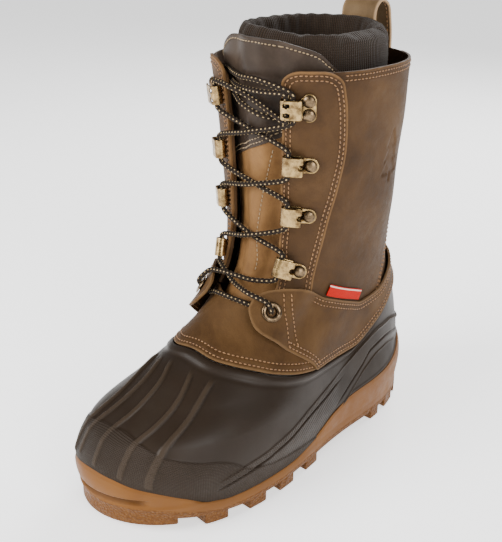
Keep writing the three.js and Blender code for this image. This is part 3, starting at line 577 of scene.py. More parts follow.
def plan_distance(points, line):
    """Distance in plan from each point to a line."""
    steps = even_steps(smooth_line(line, 12), 0.8)
    tree = KDTree(len(steps))
    for i, p in enumerate(steps):
        tree.insert((p[0], p[1], 0), i)
    tree.balance()
    return np.array([tree.find((p[0], p[1], 0))[2] for p in points])


shell_angles = np.linspace(-180, 180, 721)
shell_levels = np.linspace(0, 1, 128)
angle, level = np.meshgrid(shell_angles, shell_levels)
z = shell_point(angle, level)
base = at(angle, z)
plan = base.reshape(-1, 3) - ORIGIN
relief = np.zeros(angle.shape)
# the raised toe cap, and the ribs that run out on it
cap = smoothstep(-0.8, 0.4, through(CAP_LINE, angle) - z)
relief += 0.8 * cap
forward = smoothstep(-60, -66, plan[:, 1]).reshape(angle.shape)
fade = smoothstep(5.5, 10, shell_top(angle) - z) * smoothstep(1.5, 5, z - sole_top(angle))
ribs = np.zeros(angle.shape)
for line in VAMP_RIBS:
    near = plan_distance(plan, line).reshape(angle.shape)
    ridge = 1.5 * smoothstep(1.95, 1.2, near)
    ribs = np.maximum(ribs, ridge * forward * fade)
    relief += ridge * forward * fade * (1 - 0.4 * cap)
# two ribbed strips along the side with a groove between them
side_on = smoothstep(60, 68, fold(angle))
strip_top = through(STRIP_LINE, fold(angle))
under = strip_top - z
strip_width = mix(5.5, 8.5, smoothstep(100, 125, fold(angle)))
upper_strip = smoothstep(-0.5, 0.5, under) * smoothstep(strip_width + 0.5, strip_width - 0.5, under) * side_on
groove = np.exp(-(((under - strip_width - 1.1) / 0.6) ** 2)) * side_on
lower_strip = smoothstep(strip_width + 1.8, strip_width + 2.6, under) * side_on
to_counter = smoothstep(114, 106, fold(angle))
upper_strip, groove, lower_strip = upper_strip * to_counter, groove * to_counter, lower_strip * to_counter
relief += 0.7 * upper_strip - 1.2 * groove + 0.45 * lower_strip
# the heel counter: its outer crest, a pressed line and a matt patch with a raised edging
patch_under = through(PATCH_LINE, fold(angle)) - z
heel_on = smoothstep(110, 116, fold(angle))
counter_under = through(COUNTER_LINE, fold(angle)) - z
relief += (0.5 * smoothstep(-0.4, 0.4, under) - 0.9 * np.exp(-((counter_under / 0.8) ** 2))) * heel_on
patch = smoothstep(-0.4, 0.4, patch_under) * smoothstep(0.5, 2.5, z - sole_top(angle) - 0.5) * heel_on
edging = np.exp(-((patch_under / 0.9) ** 2)) * heel_on
crest = np.exp(-((under - 0.6) ** 2)) * smoothstep(110, 118, fold(angle))
relief += edging - 0.7 * patch + 1.2 * crest
ribs = np.maximum(ribs, np.maximum(crest, 0.7 * edging))
# the bead round the collar
to_top = shell_top(angle) - z
bead = np.exp(-(((to_top - 1.7) / 1.5) ** 4))
relief += 1.1 * bead - 0.25 * np.exp(-(((to_top - 4.6) / 0.8) ** 2))
ribbed = np.clip(upper_strip + 0.7 * lower_strip * (fold(angle) < 118), 0, 1)

shell = grid_piece("shell_moulding", at(angle, z, relief))
set_attribute(shell, "knurl", cap)
set_attribute(shell, "strip", ribbed)
set_attribute(shell, "patch", patch)
# rib: the vamp ribs, heel crest and patch edging, painted paler below as a highlight
set_attribute(shell, "rib", np.clip(ribs, 0, 1))
modify(shell, "WELD", merge_threshold=0.00002)

angle, turned_in = np.meshgrid(shell_angles, [0.0, 0.35, 0.7, 1.0])
lip_z = shell_top(angle) - 4.5 * np.maximum(0, turned_in - 0.35)
lip = grid_piece("shell_lip", at(angle, lip_z, 0.6 - 3.2 * np.minimum(1, turned_in / 0.6)))
shell = join("shell_moulding", [shell, lip])


def surface_uv(tree):
    """The piece's own u and v, in millimetres where the skin was laid as a grid."""
    uv = add(tree, "SeparateXYZ", {"Vector": add(tree, "UVMap", uv_map="UVMap").outputs["UV"]})
    return uv.outputs["X"], uv.outputs["Y"]


def wave(tree, kind, value, pitch):
    """SINE or COSINE of a value, once round for each pitch."""
    return maths(tree, kind, maths(tree, "MULTIPLY", value, math.tau / pitch))


rubber, tree, surface = shader("shell_rubber", 0.42)
surface.inputs["Specular IOR Level"].default_value = 0.15
u, v = surface_uv(tree)
tone = ramp(tree, noise(tree, 22, 6), [(0.25, (0.01275, 0.00759, 0.0044)),
                                       (0.75, (0.021, 0.01287, 0.007425))])
dusty = ramp(tree, noise(tree, 9, 3), [(0.35, (0.012, 0.00759, 0.0044)),
                                       (0.7, (0.02475, 0.01584, 0.009625))])
tone = blend_colour(tree, 0.4, tone, dusty)
KNURL_PITCH, RIB_PITCH = 2.1, 1.7
one_way = wave(tree, "SINE", maths(tree, "ADD", u, v), KNURL_PITCH)
other_way = wave(tree, "SINE", maths(tree, "SUBTRACT", u, v), KNURL_PITCH)
diamonds = maths(tree, "MULTIPLY", one_way, other_way)
cross_ribs = wave(tree, "SINE", maths(tree, "ADD", u, maths(tree, "MULTIPLY", v, 0.5)), RIB_PITCH)
knurl = attribute(tree, "knurl")
strip = attribute(tree, "strip")
texture = maths(tree, "ADD", maths(tree, "MULTIPLY", diamonds, maths(tree, "MULTIPLY", knurl, 0.9)),
                maths(tree, "MULTIPLY", cross_ribs, maths(tree, "MULTIPLY", strip, 0.8)))
grain = maths(tree, "MULTIPLY", noise(tree, 1500, 3), 0.22)
bump(tree, surface, maths(tree, "ADD", texture, grain), 0.00028, 0.75)
rubbed = span(tree, texture, 0.2, 0.9, 0.0, 0.55)
tone = blend_colour(tree, rubbed, tone, (0.045, 0.0297, 0.0176))
# painted highlight: the ribs, the heel crest and the patch edging are made paler, as if catching the light
painted_ridge_highlight = maths(tree, "MULTIPLY", attribute(tree, "rib"), 0.5)
tone = blend_colour(tree, painted_ridge_highlight, tone, (0.05, 0.034, 0.0215))
matt = attribute(tree, "patch")
tone = blend_colour(tree, maths(tree, "MULTIPLY", matt, 0.5), tone, (0.0135, 0.00858, 0.00495))
tree.links.new(tone, surface.inputs["Base Color"])
rough = span(tree, noise(tree, 60, 4), 0.3, 0.7, 0.36, 0.5)
rough = maths(tree, "ADD", rough, maths(tree, "MULTIPLY", maths(tree, "ADD", knurl, matt), 0.14))
tree.links.new(rough, surface.inputs["Roughness"])
finish(shell, rubber, "boot", ["rubber_shell"])


# ------------------------------------------------------------------ vamp and heel panel
# Tan oiled nubuck round the foot, sewn with two rows to the rubber collar; the strap covers its
# back half.
SEAM_LINE = [(0, 133), (25, 133), (45, 126), (70, 112), (95, 100), (110, 96), (125, 101), (150, 112),
             (180, 117)]
FAR = 9.0  # millimetres, for a piece with no seam or raw edge in sight


# A cut starts as a flat sheet, is laid on the last and gets its thickness inwards; its raw edge
# is eased. Stitches are short thread capsules set into the leather in even steps.
def cut(name, cols, rows, place, off, thickness, ease=0.45):
    """place(u, v) gives (angle, height) and off(angle, height) the outer face's stand-off."""
    clear_selection()
    bpy.ops.mesh.primitive_grid_add(x_subdivisions=cols, y_subdivisions=rows, size=2)
    piece = bpy.context.object
    piece.name = name
    flat = np.empty(len(piece.data.vertices) * 3)
    piece.data.vertices.foreach_get("co", flat)
    flat = flat.reshape(-1, 3)
    angle, z = place((flat[:, 0] + 1) / 2, (flat[:, 1] + 1) / 2)
    laid = at(angle, z, off(angle, z)) * MM
    piece.data.vertices.foreach_set("co", laid.ravel())
    piece.data.update()
    modify(piece, "SOLIDIFY", thickness=thickness * MM, offset=-1, use_even_offset=False)
    modify(piece, "BEVEL", width=ease * MM, segments=2, limit_method="ANGLE", angle_limit=0.9)
    piece.data.shade_smooth()
    return piece


def edge_line(place, side, u, v, steps=160):
    """Line along a cut, from its place() at u and v, which may be numbers or end pairs."""
    s = np.linspace(0, 1, steps)
    u = mix(*u, s) if isinstance(u, tuple) else np.full(steps, float(u))
    v = mix(*v, s) if isinstance(v, tuple) else np.full(steps, float(v))
    angle, z = place(u, v)
    return side * angle, z


def beside(line, inset):
    """A line of (angles, heights) moved inset millimetres to its own left on the skin."""
    angle, z = line
    points = at(angle, z, 3.0)
    way = unit(np.gradient(points, axis=0))
    left = np.cross(outward(angle, z), way)
    return points + left * inset


def how_near(piece, marks):
    """Distance in millimetres from each of the piece's points to the nearest mark."""
    tree = KDTree(len(marks))
    for i, p in enumerate(marks):
        tree.insert(Vector(p * MM), i)
    tree.balance()
    return [tree.find(v.co)[2] / MM for v in piece.data.vertices]


clear_selection()
bpy.ops.mesh.primitive_uv_sphere_add(segments=6, ring_count=6, radius=1)
pattern = bpy.context.object
stitch_points = np.array([v.co for v in pattern.data.vertices])
stitch_faces = [tuple(face.vertices) for face in pattern.data.polygons]
bpy.data.objects.remove(pattern)
dice = random.Random(7)
STITCH_PITCH, THREAD_RADIUS = 3.3, 0.48


def sew(name, cloth, lines, material, body="boot"):
    """Sews along lines of points in millimetres onto a finished piece, and marks its seam."""
    clear_selection()
    surface_tree = BVHTree.FromPolygons([v.co for v in cloth.data.vertices],
                                        [p.vertices for p in cloth.data.polygons])
    points, faces, marks = [], [], []
    for line in lines:
        steps = even_steps(line, STITCH_PITCH)
        seated = [surface_tree.find_nearest(Vector(p * MM)) for p in steps]
        for (a, normal, _, _), (b, _, _, _) in zip(seated[:-1], seated[1:]):
            a, b, normal = np.array(a) / MM, np.array(b) / MM, np.array(normal)
            way = unit(b - a)
            across = unit(np.cross(normal, way))
            half = np.linalg.norm(b - a) * dice.uniform(0.36, 0.41)
            lean = dice.uniform(-0.12, 0.2)
            x, y, h = stitch_points[:, 2], stitch_points[:, 0], stitch_points[:, 1]
            local = ((a + b) / 2 + np.outer(x * half, way)
                     + np.outer(y * THREAD_RADIUS + x * lean, across)
                     + np.outer(h * THREAD_RADIUS + 0.12 - 0.42 * x * x, normal))
            base_index = len(points)
            points += list(local)
            faces += [tuple(base_index + k for k in face) for face in stitch_faces]
            marks += [a, mix(a, b, 0.5)]
    piece = mesh_piece(name, points, faces)
    finish(piece, material, body)
    near = how_near(cloth, marks)
    if "seam" in cloth.data.attributes:
        old = np.empty(len(near))
        cloth.data.attributes["seam"].data.foreach_get("value", old)
        near = np.minimum(near, old)
        cloth.data.attributes["seam"].data.foreach_set("value", near)
    else:
        set_attribute(cloth, "seam", near)
    return piece


def mark_edge(piece, lines, off=lambda angle: 1.5):
    """Stores each point's distance from the cut's raw edges."""
    marks = [p for line in lines for p in even_steps(at(line[0], line[1], off(line[0])), 1.0)]
    set_attribute(piece, "edge", how_near(piece, marks))


def leather(name, dark, middle, light, worn, sheen=0.02, nap=1.0, rough=(0.52, 0.74)):
    """Oiled nubuck: cloudy tone, fine nap, pull-up paler along edges and creases at the seams."""
    material, tree, surface = shader(name)
    surface.inputs["Specular IOR Level"].default_value = 0.12
    surface.inputs["Sheen Weight"].default_value = sheen
    surface.inputs["Sheen Roughness"].default_value = 0.4
    cloud = noise(tree, 26, 7, 0.6, 0.4)
    body = ramp(tree, cloud, [(0.28, dark), (0.5, middle), (0.74, light)])
    streak = noise(tree, 160, 5, 0.65)
    body = blend_colour(tree, span(tree, streak, 0.45, 0.8, 0.0, 0.35), body, light)
    speck = noise(tree, 1300, 2)
    body = blend_colour(tree, span(tree, speck, 0.55, 0.75, 0.0, 0.3), body, dark)
    edge = attribute(tree, "edge")
    ragged = maths(tree, "ADD", edge, maths(tree, "MULTIPLY", streak, -1.6))
    body = blend_colour(tree, span(tree, ragged, 1.4, -0.5, 0.0, 0.85), body, worn)
    seam = attribute(tree, "seam")
    pressed = span(tree, seam, 1.5, 0.3, 0.0, 1.0)
    body = blend_colour(tree, maths(tree, "MULTIPLY", pressed, 0.45), body, dark)
    tree.links.new(body, surface.inputs["Base Color"])
    tree.links.new(span(tree, streak, 0.25, 0.75, *rough), surface.inputs["Roughness"])
    grain = maths(tree, "MULTIPLY", noise(tree, 700, 6, 0.7), 0.5 * nap)
    crease = maths(tree, "MULTIPLY", noise(tree, 75, 5, 0.6, 1.2), 1.1 * nap)
    height = maths(tree, "ADD", maths(tree, "ADD", grain, crease), maths(tree, "MULTIPLY", pressed, -0.9))
    bump(tree, surface, height, 0.0005, 0.55)
    return material


def thread(name, dark, light):
    material, tree, surface = shader(name, 0.6)
    surface.inputs["Sheen Weight"].default_value = 0.2
    tone = ramp(tree, noise(tree, 380, 3), [(0.3, dark), (0.7, light)])
    tree.links.new(tone, surface.inputs["Base Color"])
    bump(tree, surface, noise(tree, 4200, 2), 0.0001, 0.6)
    return material


tan_leather = leather("tan_nubuck", (0.03236, 0.01404, 0.003857), (0.05933, 0.02808, 0.008265),
                      (0.089, 0.04536, 0.01543), (0.151, 0.0837, 0.03416))
amber_thread = thread("amber_thread", (0.1364, 0.056, 0.0125), (0.2604, 0.1232, 0.035))


def lower_off(angle, z):
    return 0.75 * smoothstep(13, 2, z - shell_top(angle))


def lower_place(start, end):
    def place(u, v):
        angle = mix(start, end, u)
        hem = shell_top(angle) + 0.5
        return angle, mix(hem, through(SEAM_LINE, fold(angle)) - 0.3, v)
    return place


vamp_place = lower_place(-104, 104)
vamp = cut("vamp_leather", 210, 34, vamp_place, lower_off, 2.0)
hem = edge_line(vamp_place, 1, (0.0, 1.0), 0, 400)
mark_edge(vamp, [hem])
sew("vamp_stitching", vamp, [beside(hem, 3.2), beside(hem, 7.6)], amber_thread)
finish(vamp, tan_leather, "boot", ["vamp"])
heel_place = lower_place(104.6, 255.4)
heel_leather = cut("heel_leather", 120, 22, heel_place, lower_off, 2.0)
mark_edge(heel_leather, [edge_line(heel_place, 1, (0.0, 1.0), 0)])
set_attribute(heel_leather, "seam", np.full(len(heel_leather.data.vertices), FAR))
finish(heel_leather, tan_leather, "boot", ["heel_panel"])


# ------------------------------------------------------------------ shaft sides
# Two tall brown quarters, turned and double stitched round the rim, with a pressed pine tree
# near the back; they lap over the back stay.
LAP_LINE = [(100, 117), (117, 121), (135, 128), (152, 138), (172, 147), (200, 152), (292, 152)]
TREE_FOOT = (205, 104)
RIM = 291
SIDES = ((1, "lateral"), (-1, "medial"))
FACING_FRONT = [(130, 33), (141, 30), (157, 26), (175, 22), (220, 19.5), (292, 19.5)]


def side_cut(name, side, cols, rows, place, off, thickness, ease=0.45):
    """The same cut for the outer (1) or inner (-1) side; place works in unsigned angles."""
    def placed(u, v):
        angle, z = place(u if side > 0 else 1 - u, v)
        return side * angle, z
    return cut(name, cols, rows, placed, off, thickness, ease)


def pine_depth(x, y):
    """1 inside a small pine tree with three tiers and a trunk, x across and y up from its foot."""
    inside = (np.abs(x) < 1.4) & (y > 0) & (y < 9)
    for low_edge, high_edge, half in ((6, 22, 11), (16, 31, 8.5), (26, 41, 6)):
        taper = half * (1 - (y - low_edge) / (high_edge - low_edge))
        inside |= (y > low_edge) & (y < high_edge) & (np.abs(x) < taper)
    return inside.astype(float)


def quarter_place(u, v):
    even = mix(32, 118, u)
    z = mix(through(SEAM_LINE, even) + 0.4, RIM, v)
    corner = 12 * smoothstep(RIM - 10, RIM, z)
    return mix(through(FACING_FRONT, z) + corner, through(LAP_LINE, z), u), z


def quarter_off(angle, z):
    x = (fold(angle) - TREE_FOOT[1]) * 0.93
    y = z - TREE_FOOT[0]
    pressed = sum(pine_depth(x + dx, y + dy) for dx in (-0.4, 0.4) for dy in (-0.4, 0.4)) / 4
    drape = 0.5 * np.sin(z / 13 + fold(angle) / 19)
    drape = drape * smoothstep(60, 90, fold(angle)) * smoothstep(285, 240, z)
    return drape - 0.9 * pressed


shaft_leather = leather("shaft_nubuck", (0.0296, 0.01386, 0.00476), (0.05032, 0.02442, 0.00868),
                        (0.0777, 0.04026, 0.01568), (0.1924, 0.099, 0.0364))

for side, name in SIDES:
    quarter = side_cut("quarter_leather_" + name, side, 136, 160, quarter_place, quarter_off, 2.1)
    rim = edge_line(quarter_place, side, (0.2, 1.0) if side > 0 else (1.0, 0.2), 1)
    lap = edge_line(quarter_place, side, 1, (0.0, 1.0) if side > 0 else (1.0, 0.0))
    mark_edge(quarter, [rim, lap])
    rows = [beside(rim, -2.6), beside(rim, -5.6), beside(lap, 2.6), beside(lap, 5.6)]
    sew("quarter_stitching_" + name, quarter, rows, amber_thread)
    finish(quarter, shaft_leather, "boot", ["quarter_" + name])


# ------------------------------------------------------------------ back stay
# Brown strip up the back of the shaft, lapped by both quarters and held by their inner rows of
# stitching, with a single row along its raw top edge.
def stay_place(u, v):
    z = mix(through(SEAM_LINE, 180) - 8, RIM, v)
    lap = through(LAP_LINE, z) - 7
    return mix(lap, 360 - lap, u), z


stay = cut("back_stay_leather", 70, 150, stay_place, lambda angle, z: -1.4, 1.3)
mark_edge(stay, [edge_line(stay_place, 1, (0.0, 1.0), 1)])
stay_top = edge_line(stay_place, 1, (0.12, 0.88), 1)
sew("back_stay_stitching", stay, [beside(stay_top, -2.6)], amber_thread)
finish(stay, shaft_leather, "boot", ["back_stay"])


# ------------------------------------------------------------------ facings
# Doubled leather beside the throat that carries the hooks; round top corners, raw pale edges,
# two rows of stitching all round.
CORNER = 9.0
FACING_REAR = [(133, 56), (148, 52), (182, 51), (211, 55), (239, 58), (266, 57), (292, 53)]
STRAP_LINE = [(20, 141), (32, 141), (45, 138), (60, 132), (75, 125), (90, 117), (102, 112),
              (114, 113), (130, 121), (150, 130), (180, 134)]


def strap_top(angle):
    return through(STRAP_LINE, fold(angle))


def chained(lines):
    """Several lines of (angles, heights) as one."""
    return tuple(np.concatenate(part) for part in zip(*lines))


def facing_place(u, v):
    v = 1 - (1 - v) ** 1.6
    even = mix(31, 55, u)
    z = mix(strap_top(even) - 4.0, RIM + 1, v)
    from_top = RIM + 1 - z
    round_corner = CORNER - np.sqrt(np.maximum(0, CORNER ** 2 - (CORNER - from_top) ** 2))
    inset = np.where(from_top < CORNER, round_corner, 0)
    start = through(FACING_FRONT, z) + inset * 1.25
    end = through(FACING_REAR, z) - inset * 1.25
    return mix(start, end, u), z


for side, name in SIDES:
    facing = side_cut("facing_leather_" + name, side, 34, 150, facing_place,
                      lambda angle, z: 2.3, 2.1, 0.6)
    around = [edge_line(facing_place, side, 0, (0.0, 1.0)), edge_line(facing_place, side, (0.0, 1.0), 1, 60),
              edge_line(facing_place, side, 1, (1.0, 0.0))]
    mark_edge(facing, around)
    outline = chained(around)
    rows = []
    for inset in (2.6, 5.6):
        path = beside(outline, -side * inset)
        rows.append(smooth_line(even_steps(path, 4.0), 4))
    sew("facing_stitching_" + name, facing, rows, amber_thread)
    finish(facing, shaft_leather, "boot", ["facing_" + name])


# ------------------------------------------------------------------ ankle strap
# Tan strap that wraps the heel from a round flap at the throat, edges raw and double stitched,
# with a doubled row down the flap.
FLAP_BASE, FLAP_RISE = 2.8, 6
FLAP_EDGE = [(80, 91), (84.6, 85.5), (96.9, 66.3), (105.6, 51.3), (112, 38.4), (116.2, 31.2),
             (122.5, 24.4), (127.7, 20.6), (132, 20.2), (136.3, 23.4), (139, 29), (140.4, 35)]
DOUBLED_ROW = [(99, 66.6), (112.5, 55.8), (125.6, 46.5), (137.6, 39.9)]


def flap_lift(angle):
    return FLAP_RISE * (1 - smoothstep(43, 62, fold(angle)))


def strap_place(u, v):
    edge = mix(80, 140.4, v)
    front = through(FLAP_EDGE, edge)
    angle = mix(front, 180.6, u)
    even = mix(shell_top(angle) + 1.8, strap_top(angle), v)
    return angle, mix(edge, even, smoothstep(0, 0.22, u))


for side, name in SIDES:
    strap = side_cut("strap_leather_" + name, side, 190, 50, strap_place,
                     lambda angle, z: FLAP_BASE + flap_lift(angle), 1.9, 0.6)
    upper = edge_line(strap_place, side, (0.0, 1.0), 1, 300)
    lower = edge_line(strap_place, side, (0.0, 1.0), 0, 300)
    front = edge_line(strap_place, side, 0, (0.0, 1.0))
    mark_edge(strap, [upper, lower, front], lambda angle: 1.9 + flap_lift(angle))
    whole = chained([(lower[0][::-1], lower[1][::-1]), front, upper])
    rows = [beside(whole, -side * 2.6), beside(whole, -side * 5.8)]
    down = np.linspace(137.5, 101.5, 60)
    for shift in (-4.4, 0):
        doubled = through(DOUBLED_ROW, down) + shift
        rows.append(at(side * doubled, down, 3.0 + flap_lift(doubled)))
    sew("strap_stitching_" + name, strap, rows, amber_thread)
    finish(strap, tan_leather, "boot", ["ankle_strap_" + name])


# ------------------------------------------------------------------ tongue and gussets
# Tan tongue that swells forward between the facings, with a smooth dark top sewn over it and
# one seam down the middle; thin bellows join its edges to the quarters.
TONGUE_TOP = [(-56, 286), (-46, 293), (-34, 302), (-20, 309), (0, 310), (12, 309), (26, 306),
              (40, 302), (50, 294), (58, 286)]
TONGUE_SEAM = [(156, 8), (177, 2), (199, 4), (218, 8), (235, 12)]


def tongue_off(angle, z):
    puff = 0.5 * np.sin(z / 9.0 + 0.09 * angle)
    puff = puff * smoothstep(20, 5, fold(angle)) * smoothstep(300, 280, z)
    return -8 + 5.2 * (1 - smoothstep(3, 17, fold(angle))) * smoothstep(134, 148, z) + puff


def tongue_lower_place(u, v):
    angle = mix(-44, 44, u)
    return angle, mix(124, 240 + 0.5 * angle, v)


def tongue_upper_place(u, v):
    angle = mix(-56, 56, u)
    return angle, mix(237 + 0.5 * angle, through(TONGUE_TOP, angle), v)


tongue_leather = leather("tongue_nubuck", (0.08125, 0.0364, 0.0112), (0.15, 0.0728, 0.0238),
                         (0.225, 0.117, 0.042), (0.35, 0.2015, 0.0868))
smooth_leather = leather("smooth_dark_leather", (0.0182, 0.0117, 0.0078), (0.0312, 0.0208, 0.0143),
                         (0.0546, 0.0377, 0.026), (0.13, 0.091, 0.0585), 0.03, 0.45, (0.36, 0.5))
cream_thread = thread("cream_thread", (0.18, 0.1144, 0.0504), (0.3, 0.208, 0.105))

tongue_lower = cut("tongue_lower_leather", 60, 110, tongue_lower_place, tongue_off, 1.8)
mark_edge(tongue_lower, [edge_line(tongue_lower_place, 1, edge, (0.0, 1.0)) for edge in (0, 1)])
seam_z = np.linspace(150, 236, 90)
seam_angle = through(TONGUE_SEAM, seam_z)
sew("tongue_lower_stitching", tongue_lower, [at(seam_angle, seam_z, -2.4)], cream_thread)
finish(tongue_lower, tongue_leather, "boot", ["tongue_lower"])

tongue_upper = cut("tongue_upper_leather", 80, 60, tongue_upper_place,
                   lambda angle, z: tongue_off(angle, z) + 0.9, 1.9, 0.5)
top_edge = edge_line(tongue_upper_place, 1, (0.0, 1.0), 1)
join_edge = edge_line(tongue_upper_place, 1, (0.0, 1.0), 0)
mark_edge(tongue_upper, [top_edge, join_edge])
rows = [beside(join_edge, 2.4), beside(join_edge, 5.4), beside(top_edge, -2.8)]
sew("tongue_upper_stitching", tongue_upper, rows, cream_thread)
finish(tongue_upper, smooth_leather, "boot", ["tongue_upper"])

for side, name in SIDES:
    gusset = side_cut("gusset_leather_" + name, side, 24, 50,
                      lambda u, v: (mix(43.5, 62, u), mix(140, 222, v)),
                      lambda angle, z: mix(-6.1, -3.2, smoothstep(43, 62, fold(angle))), 1.0, 0.3)
    set_attribute(gusset, "edge", np.full(len(gusset.data.vertices), FAR))
    set_attribute(gusset, "seam", np.full(len(gusset.data.vertices), FAR))
    finish(gusset, smooth_leather, "boot", ["gusset_" + name])


# ------------------------------------------------------------------ eyelets
# Antique brass eyelets through the round ends of the strap's flaps: a rolled rim in front, its
# barrel clenched over a washer behind.
EYELET = (125.5, 35)
FLAP_OFF = FLAP_BASE + FLAP_RISE


def fitting_frame(side, place, off):
    """Where a fitting sits: x runs back from the throat, y up or down the boot, z outwards."""
    z, angle = place
    out = outward(side * angle, z)
    up = unit(skin(side * angle, z + 1) - skin(side * angle, z - 1))
    across = unit(np.cross(up, out)) * side
    turn = np.stack([across, np.cross(out, across), out], -1)
    return turn, at(side * angle, z, off)


def metal(name, deep, bright, rough):
    material, tree, surface = shader(name, rough)
    surface.inputs["Metallic"].default_value = 1.0
    worn = noise(tree, 180, 6, 0.65)
    tree.links.new(ramp(tree, worn, [(0.36, deep), (0.62, bright)]), surface.inputs["Base Color"])
    rubbed = span(tree, noise(tree, 500, 4), 0.3, 0.7, rough - 0.08, rough + 0.14)
    tree.links.new(rubbed, surface.inputs["Roughness"])
    bump(tree, surface, maths(tree, "ADD", worn, noise(tree, 2200, 2)), 0.00012, 0.4)
    return material


def turned(name, profile):
    """Spins a profile of (radius, height) millimetres about the z axis."""
    mesh = bpy.data.meshes.new(name)
    mesh.from_pydata([(r * MM, 0, h * MM) for r, h in profile],
                     [(i, i + 1) for i in range(len(profile) - 1)], [])
    piece = bpy.data.objects.new(name, mesh)
    bpy.context.collection.objects.link(piece)
    clear_selection()
    bpy.context.view_layer.objects.active = piece
    piece.select_set(True)
    bpy.ops.object.mode_set(mode="EDIT")
    bpy.ops.mesh.select_all(action="SELECT")
    bpy.ops.mesh.spin(steps=32, angle=math.tau, center=(0, 0, 0), axis=(0, 0, 1))
    bpy.ops.mesh.select_all(action="SELECT")
    bpy.ops.mesh.remove_doubles(threshold=0.00001)
    bpy.ops.mesh.normals_make_consistent(inside=False)
    bpy.ops.object.mode_set(mode="OBJECT")
    piece.data.shade_smooth()
    return piece


def settle(piece, side, place, off):
    """Moves a fitting drawn flat at the origin onto its place on the leather."""
    turn, origin = fitting_frame(side, place, off)
    frame_here = Matrix(turn.tolist()).to_4x4()
    frame_here.translation = Vector(origin * MM)
    piece.data.transform(frame_here)
    return piece


antique_brass = metal("antique_brass", (0.035, 0.023, 0.014), (0.2, 0.135, 0.075), 0.3)
ROLL = [(3.2, -4.4), (3.9, -4.4), (3.9, 0.9), (7.2, 0.9), (7.15, 1.35), (6.6, 1.8), (5.6, 2.05),
        (4.5, 1.95), (3.7, 1.5), (3.3, 0.9), (3.2, 0.2), (3.2, -4.4)]
WASHER = [(4.3, -4.4), (6, -4.4), (6, -3.8), (4.3, -3.8), (4.3, -4.4)]
for side, name in SIDES:
    eyelet = settle(turned("rolled_eyelet_" + name, ROLL), side, EYELET, FLAP_OFF)
    finish(eyelet, antique_brass, "boot", ["eyelet_" + name])
    washer = settle(turned("clenched_washer_" + name, WASHER), side, EYELET, FLAP_OFF)
    finish(washer, antique_brass, "boot", ["eyelet_washer_" + name])


# ------------------------------------------------------------------ cleats, hooks and rivets
# Stamped brass plates folded forward: three closed cleats and an open hook at the top of each
# facing, held by domed antique rivets through both leathers.
PLATE = 0.9
BEND = 3.1
DEPTH = 6.0
HALF_WIDTH = 6.5
KEYHOLE = 2.3
PLATE_OFF = 3.0
HOOK = (269, 30)
CLEATS = [(230, 31.5), (194, 32.5), (154, 35)]


def folded(name, path, holes):
    """Strip bent along a path of (x, z), with the faces near each (x, z range, y, reach) cut out."""
    line = even_steps(np.array(path, float), 0.45)
    clear_selection()
    bpy.ops.mesh.primitive_grid_add(x_subdivisions=len(line) - 1, y_subdivisions=26, size=2)
    piece = bpy.context.object
    piece.name = name
    for vertex in piece.data.vertices:
        x, z = line[int(round((vertex.co.x + 1) / 2 * (len(line) - 1)))]
        vertex.co = (x * MM, vertex.co.y * HALF_WIDTH * MM, z * MM)
    bpy.ops.object.mode_set(mode="EDIT")
    bpy.ops.mesh.select_all(action="DESELECT")
    bpy.ops.object.mode_set(mode="OBJECT")
    for face in piece.data.polygons:
        x, y, z = (c / MM for c in face.center)
        face.select = any(((x - hx) / rx) ** 2 + ((abs(y) - hy) / ry) ** 4 < 1 and z > low
                          for hx, hy, rx, ry, low in holes)
    bpy.ops.object.mode_set(mode="EDIT")
    bpy.ops.mesh.delete(type="FACE")
    bpy.ops.object.mode_set(mode="OBJECT")
    modify(piece, "SOLIDIFY", thickness=PLATE * MM, offset=-1)
    modify(piece, "BEVEL", width=0.22 * MM, segments=2, limit_method="ANGLE", angle_limit=0.9)
    piece.data.shade_smooth()
    return piece


def arc(x, y, radius, start, end, steps):
    turns = np.radians(np.linspace(start, end, steps))
    return [(x + radius * math.cos(t), y + radius * math.sin(t)) for t in turns]


def dome(cap):
    seat = PLATE + 0.2
    return [(0, -DEPTH - 1), (2.8, -DEPTH - 1), (2.8, -DEPTH), (1.4, -DEPTH), (1.4, seat), (cap, seat),
            (cap, seat + 0.35), (cap * 0.93, seat + 0.9), (cap * 0.78, seat + 1.45), (cap * 0.5, seat + 2.0),
            (cap * 0.22, seat + 2.25), (0, seat + 2.3)]


